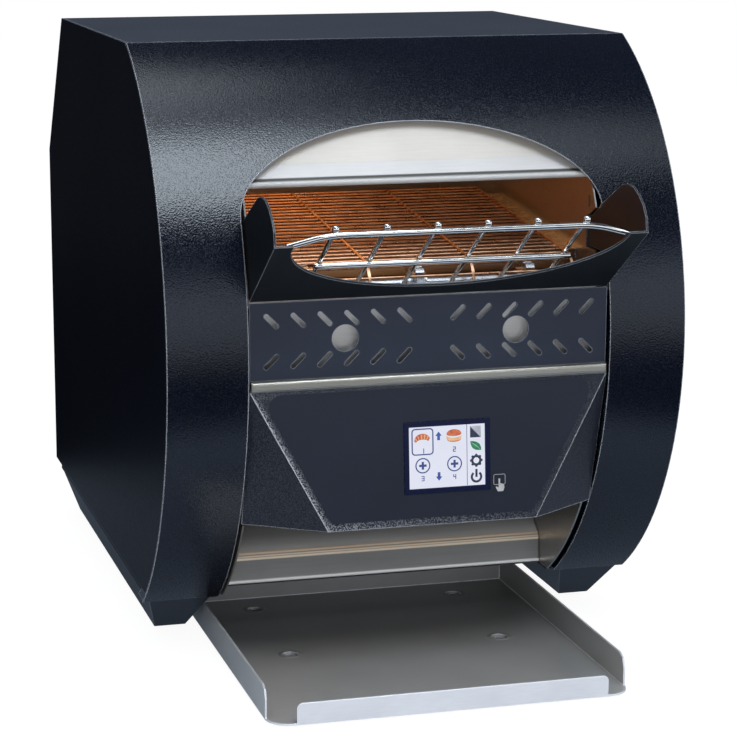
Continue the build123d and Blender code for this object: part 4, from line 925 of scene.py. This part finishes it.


# ------------------------------------------------------------------ collection tray
# A loose tray of clear-anodised aluminium sheet with a front lip, whose face is kept bright as painted light.
# Its floor has pressed dimples and a ring round each, and it is darkened towards the back as painted shade.
tray_middle_x, tray_middle_y = -0.009, -0.1615
dimple_x, dimple_y = 0.0787, 0.1075         # from the tray's middle
lip_y = -0.30
anodised = brushed("anodised_sheet", "tray_aluminium", (0.70, 0.685, 0.66), (0.76, 0.745, 0.72), 0.36, 0.44,
                   (0.10, 1, 1), 0.05, 0.50, edge=0.0012)
on_tray = spot_on(anodised)
aside = worked_out(anodised, "ABSOLUTE", worked_out(anodised, "SUBTRACT", on_tray["X"], tray_middle_x))
aside = worked_out(anodised, "SUBTRACT", aside, dimple_x)
along = worked_out(anodised, "ABSOLUTE", worked_out(anodised, "SUBTRACT", on_tray["Y"], tray_middle_y))
along = worked_out(anodised, "MINIMUM", along,
                   worked_out(anodised, "ABSOLUTE", worked_out(anodised, "SUBTRACT", along, dimple_y)))
squares = worked_out(anodised, "ADD", worked_out(anodised, "MULTIPLY", aside, aside),
                     worked_out(anodised, "MULTIPLY", along, along))
ring = graded(anodised, worked_out(anodised, "MULTIPLY", worked_out(anodised, "SQRT", squares), 80.0),
              [(0.30, 0.0), (0.46, 1.0), (0.54, 1.0), (0.72, 0.0)])
tree = anodised.node_tree
shader = tree.nodes["Principled BSDF"]
ring_bump = tree.nodes.new("ShaderNodeBump")
ring_bump.inputs["Strength"].default_value = 0.9
ring_bump.inputs["Distance"].default_value = 0.0016
link(anodised, ring, ring_bump.inputs["Height"])
link(anodised, shader.inputs["Normal"].links[0].from_socket, ring_bump.inputs["Normal"])
link(anodised, ring_bump.outputs["Normal"], shader.inputs["Normal"])
tray_normal = tree.nodes.new("ShaderNodeSeparateXYZ")
link(anodised, tree.nodes.new("ShaderNodeNewGeometry").outputs["True Normal"], tray_normal.inputs[0])
from_lip = worked_out(anodised, "SUBTRACT", on_tray["Y"], lip_y)
# Darker towards the back: painted shade under the case.
shade_to_rear = graded(anodised, from_lip, [(0.02, 0.62), (0.24, 0.36)])
# The lip's front face keeps its full colour: painted light on it.
turned_front = graded(anodised, worked_out(anodised, "MULTIPLY", tray_normal.outputs["Y"], -1.0),
                      [(0.5, 0.0), (0.9, 1.0)])
near_lip = graded(anodised, from_lip, [(0.02, 1.0), (0.04, 0.0)])
lit_lip_face = worked_out(anodised, "MULTIPLY", near_lip, turned_front)
shaded(anodised, blended(anodised, shade_to_rear, (1.0, 1.0, 1.04), lit_lip_face))
# Sharp edges are lightened as a painted highlight.
painted_tone = shader.inputs["Base Color"].links[0].from_socket
link(anodised, blended(anodised, painted_tone, (0.98, 0.98, 1.0), edge_highlight(anodised)), shader.inputs["Base Color"])
give("collection_tray", anodised)
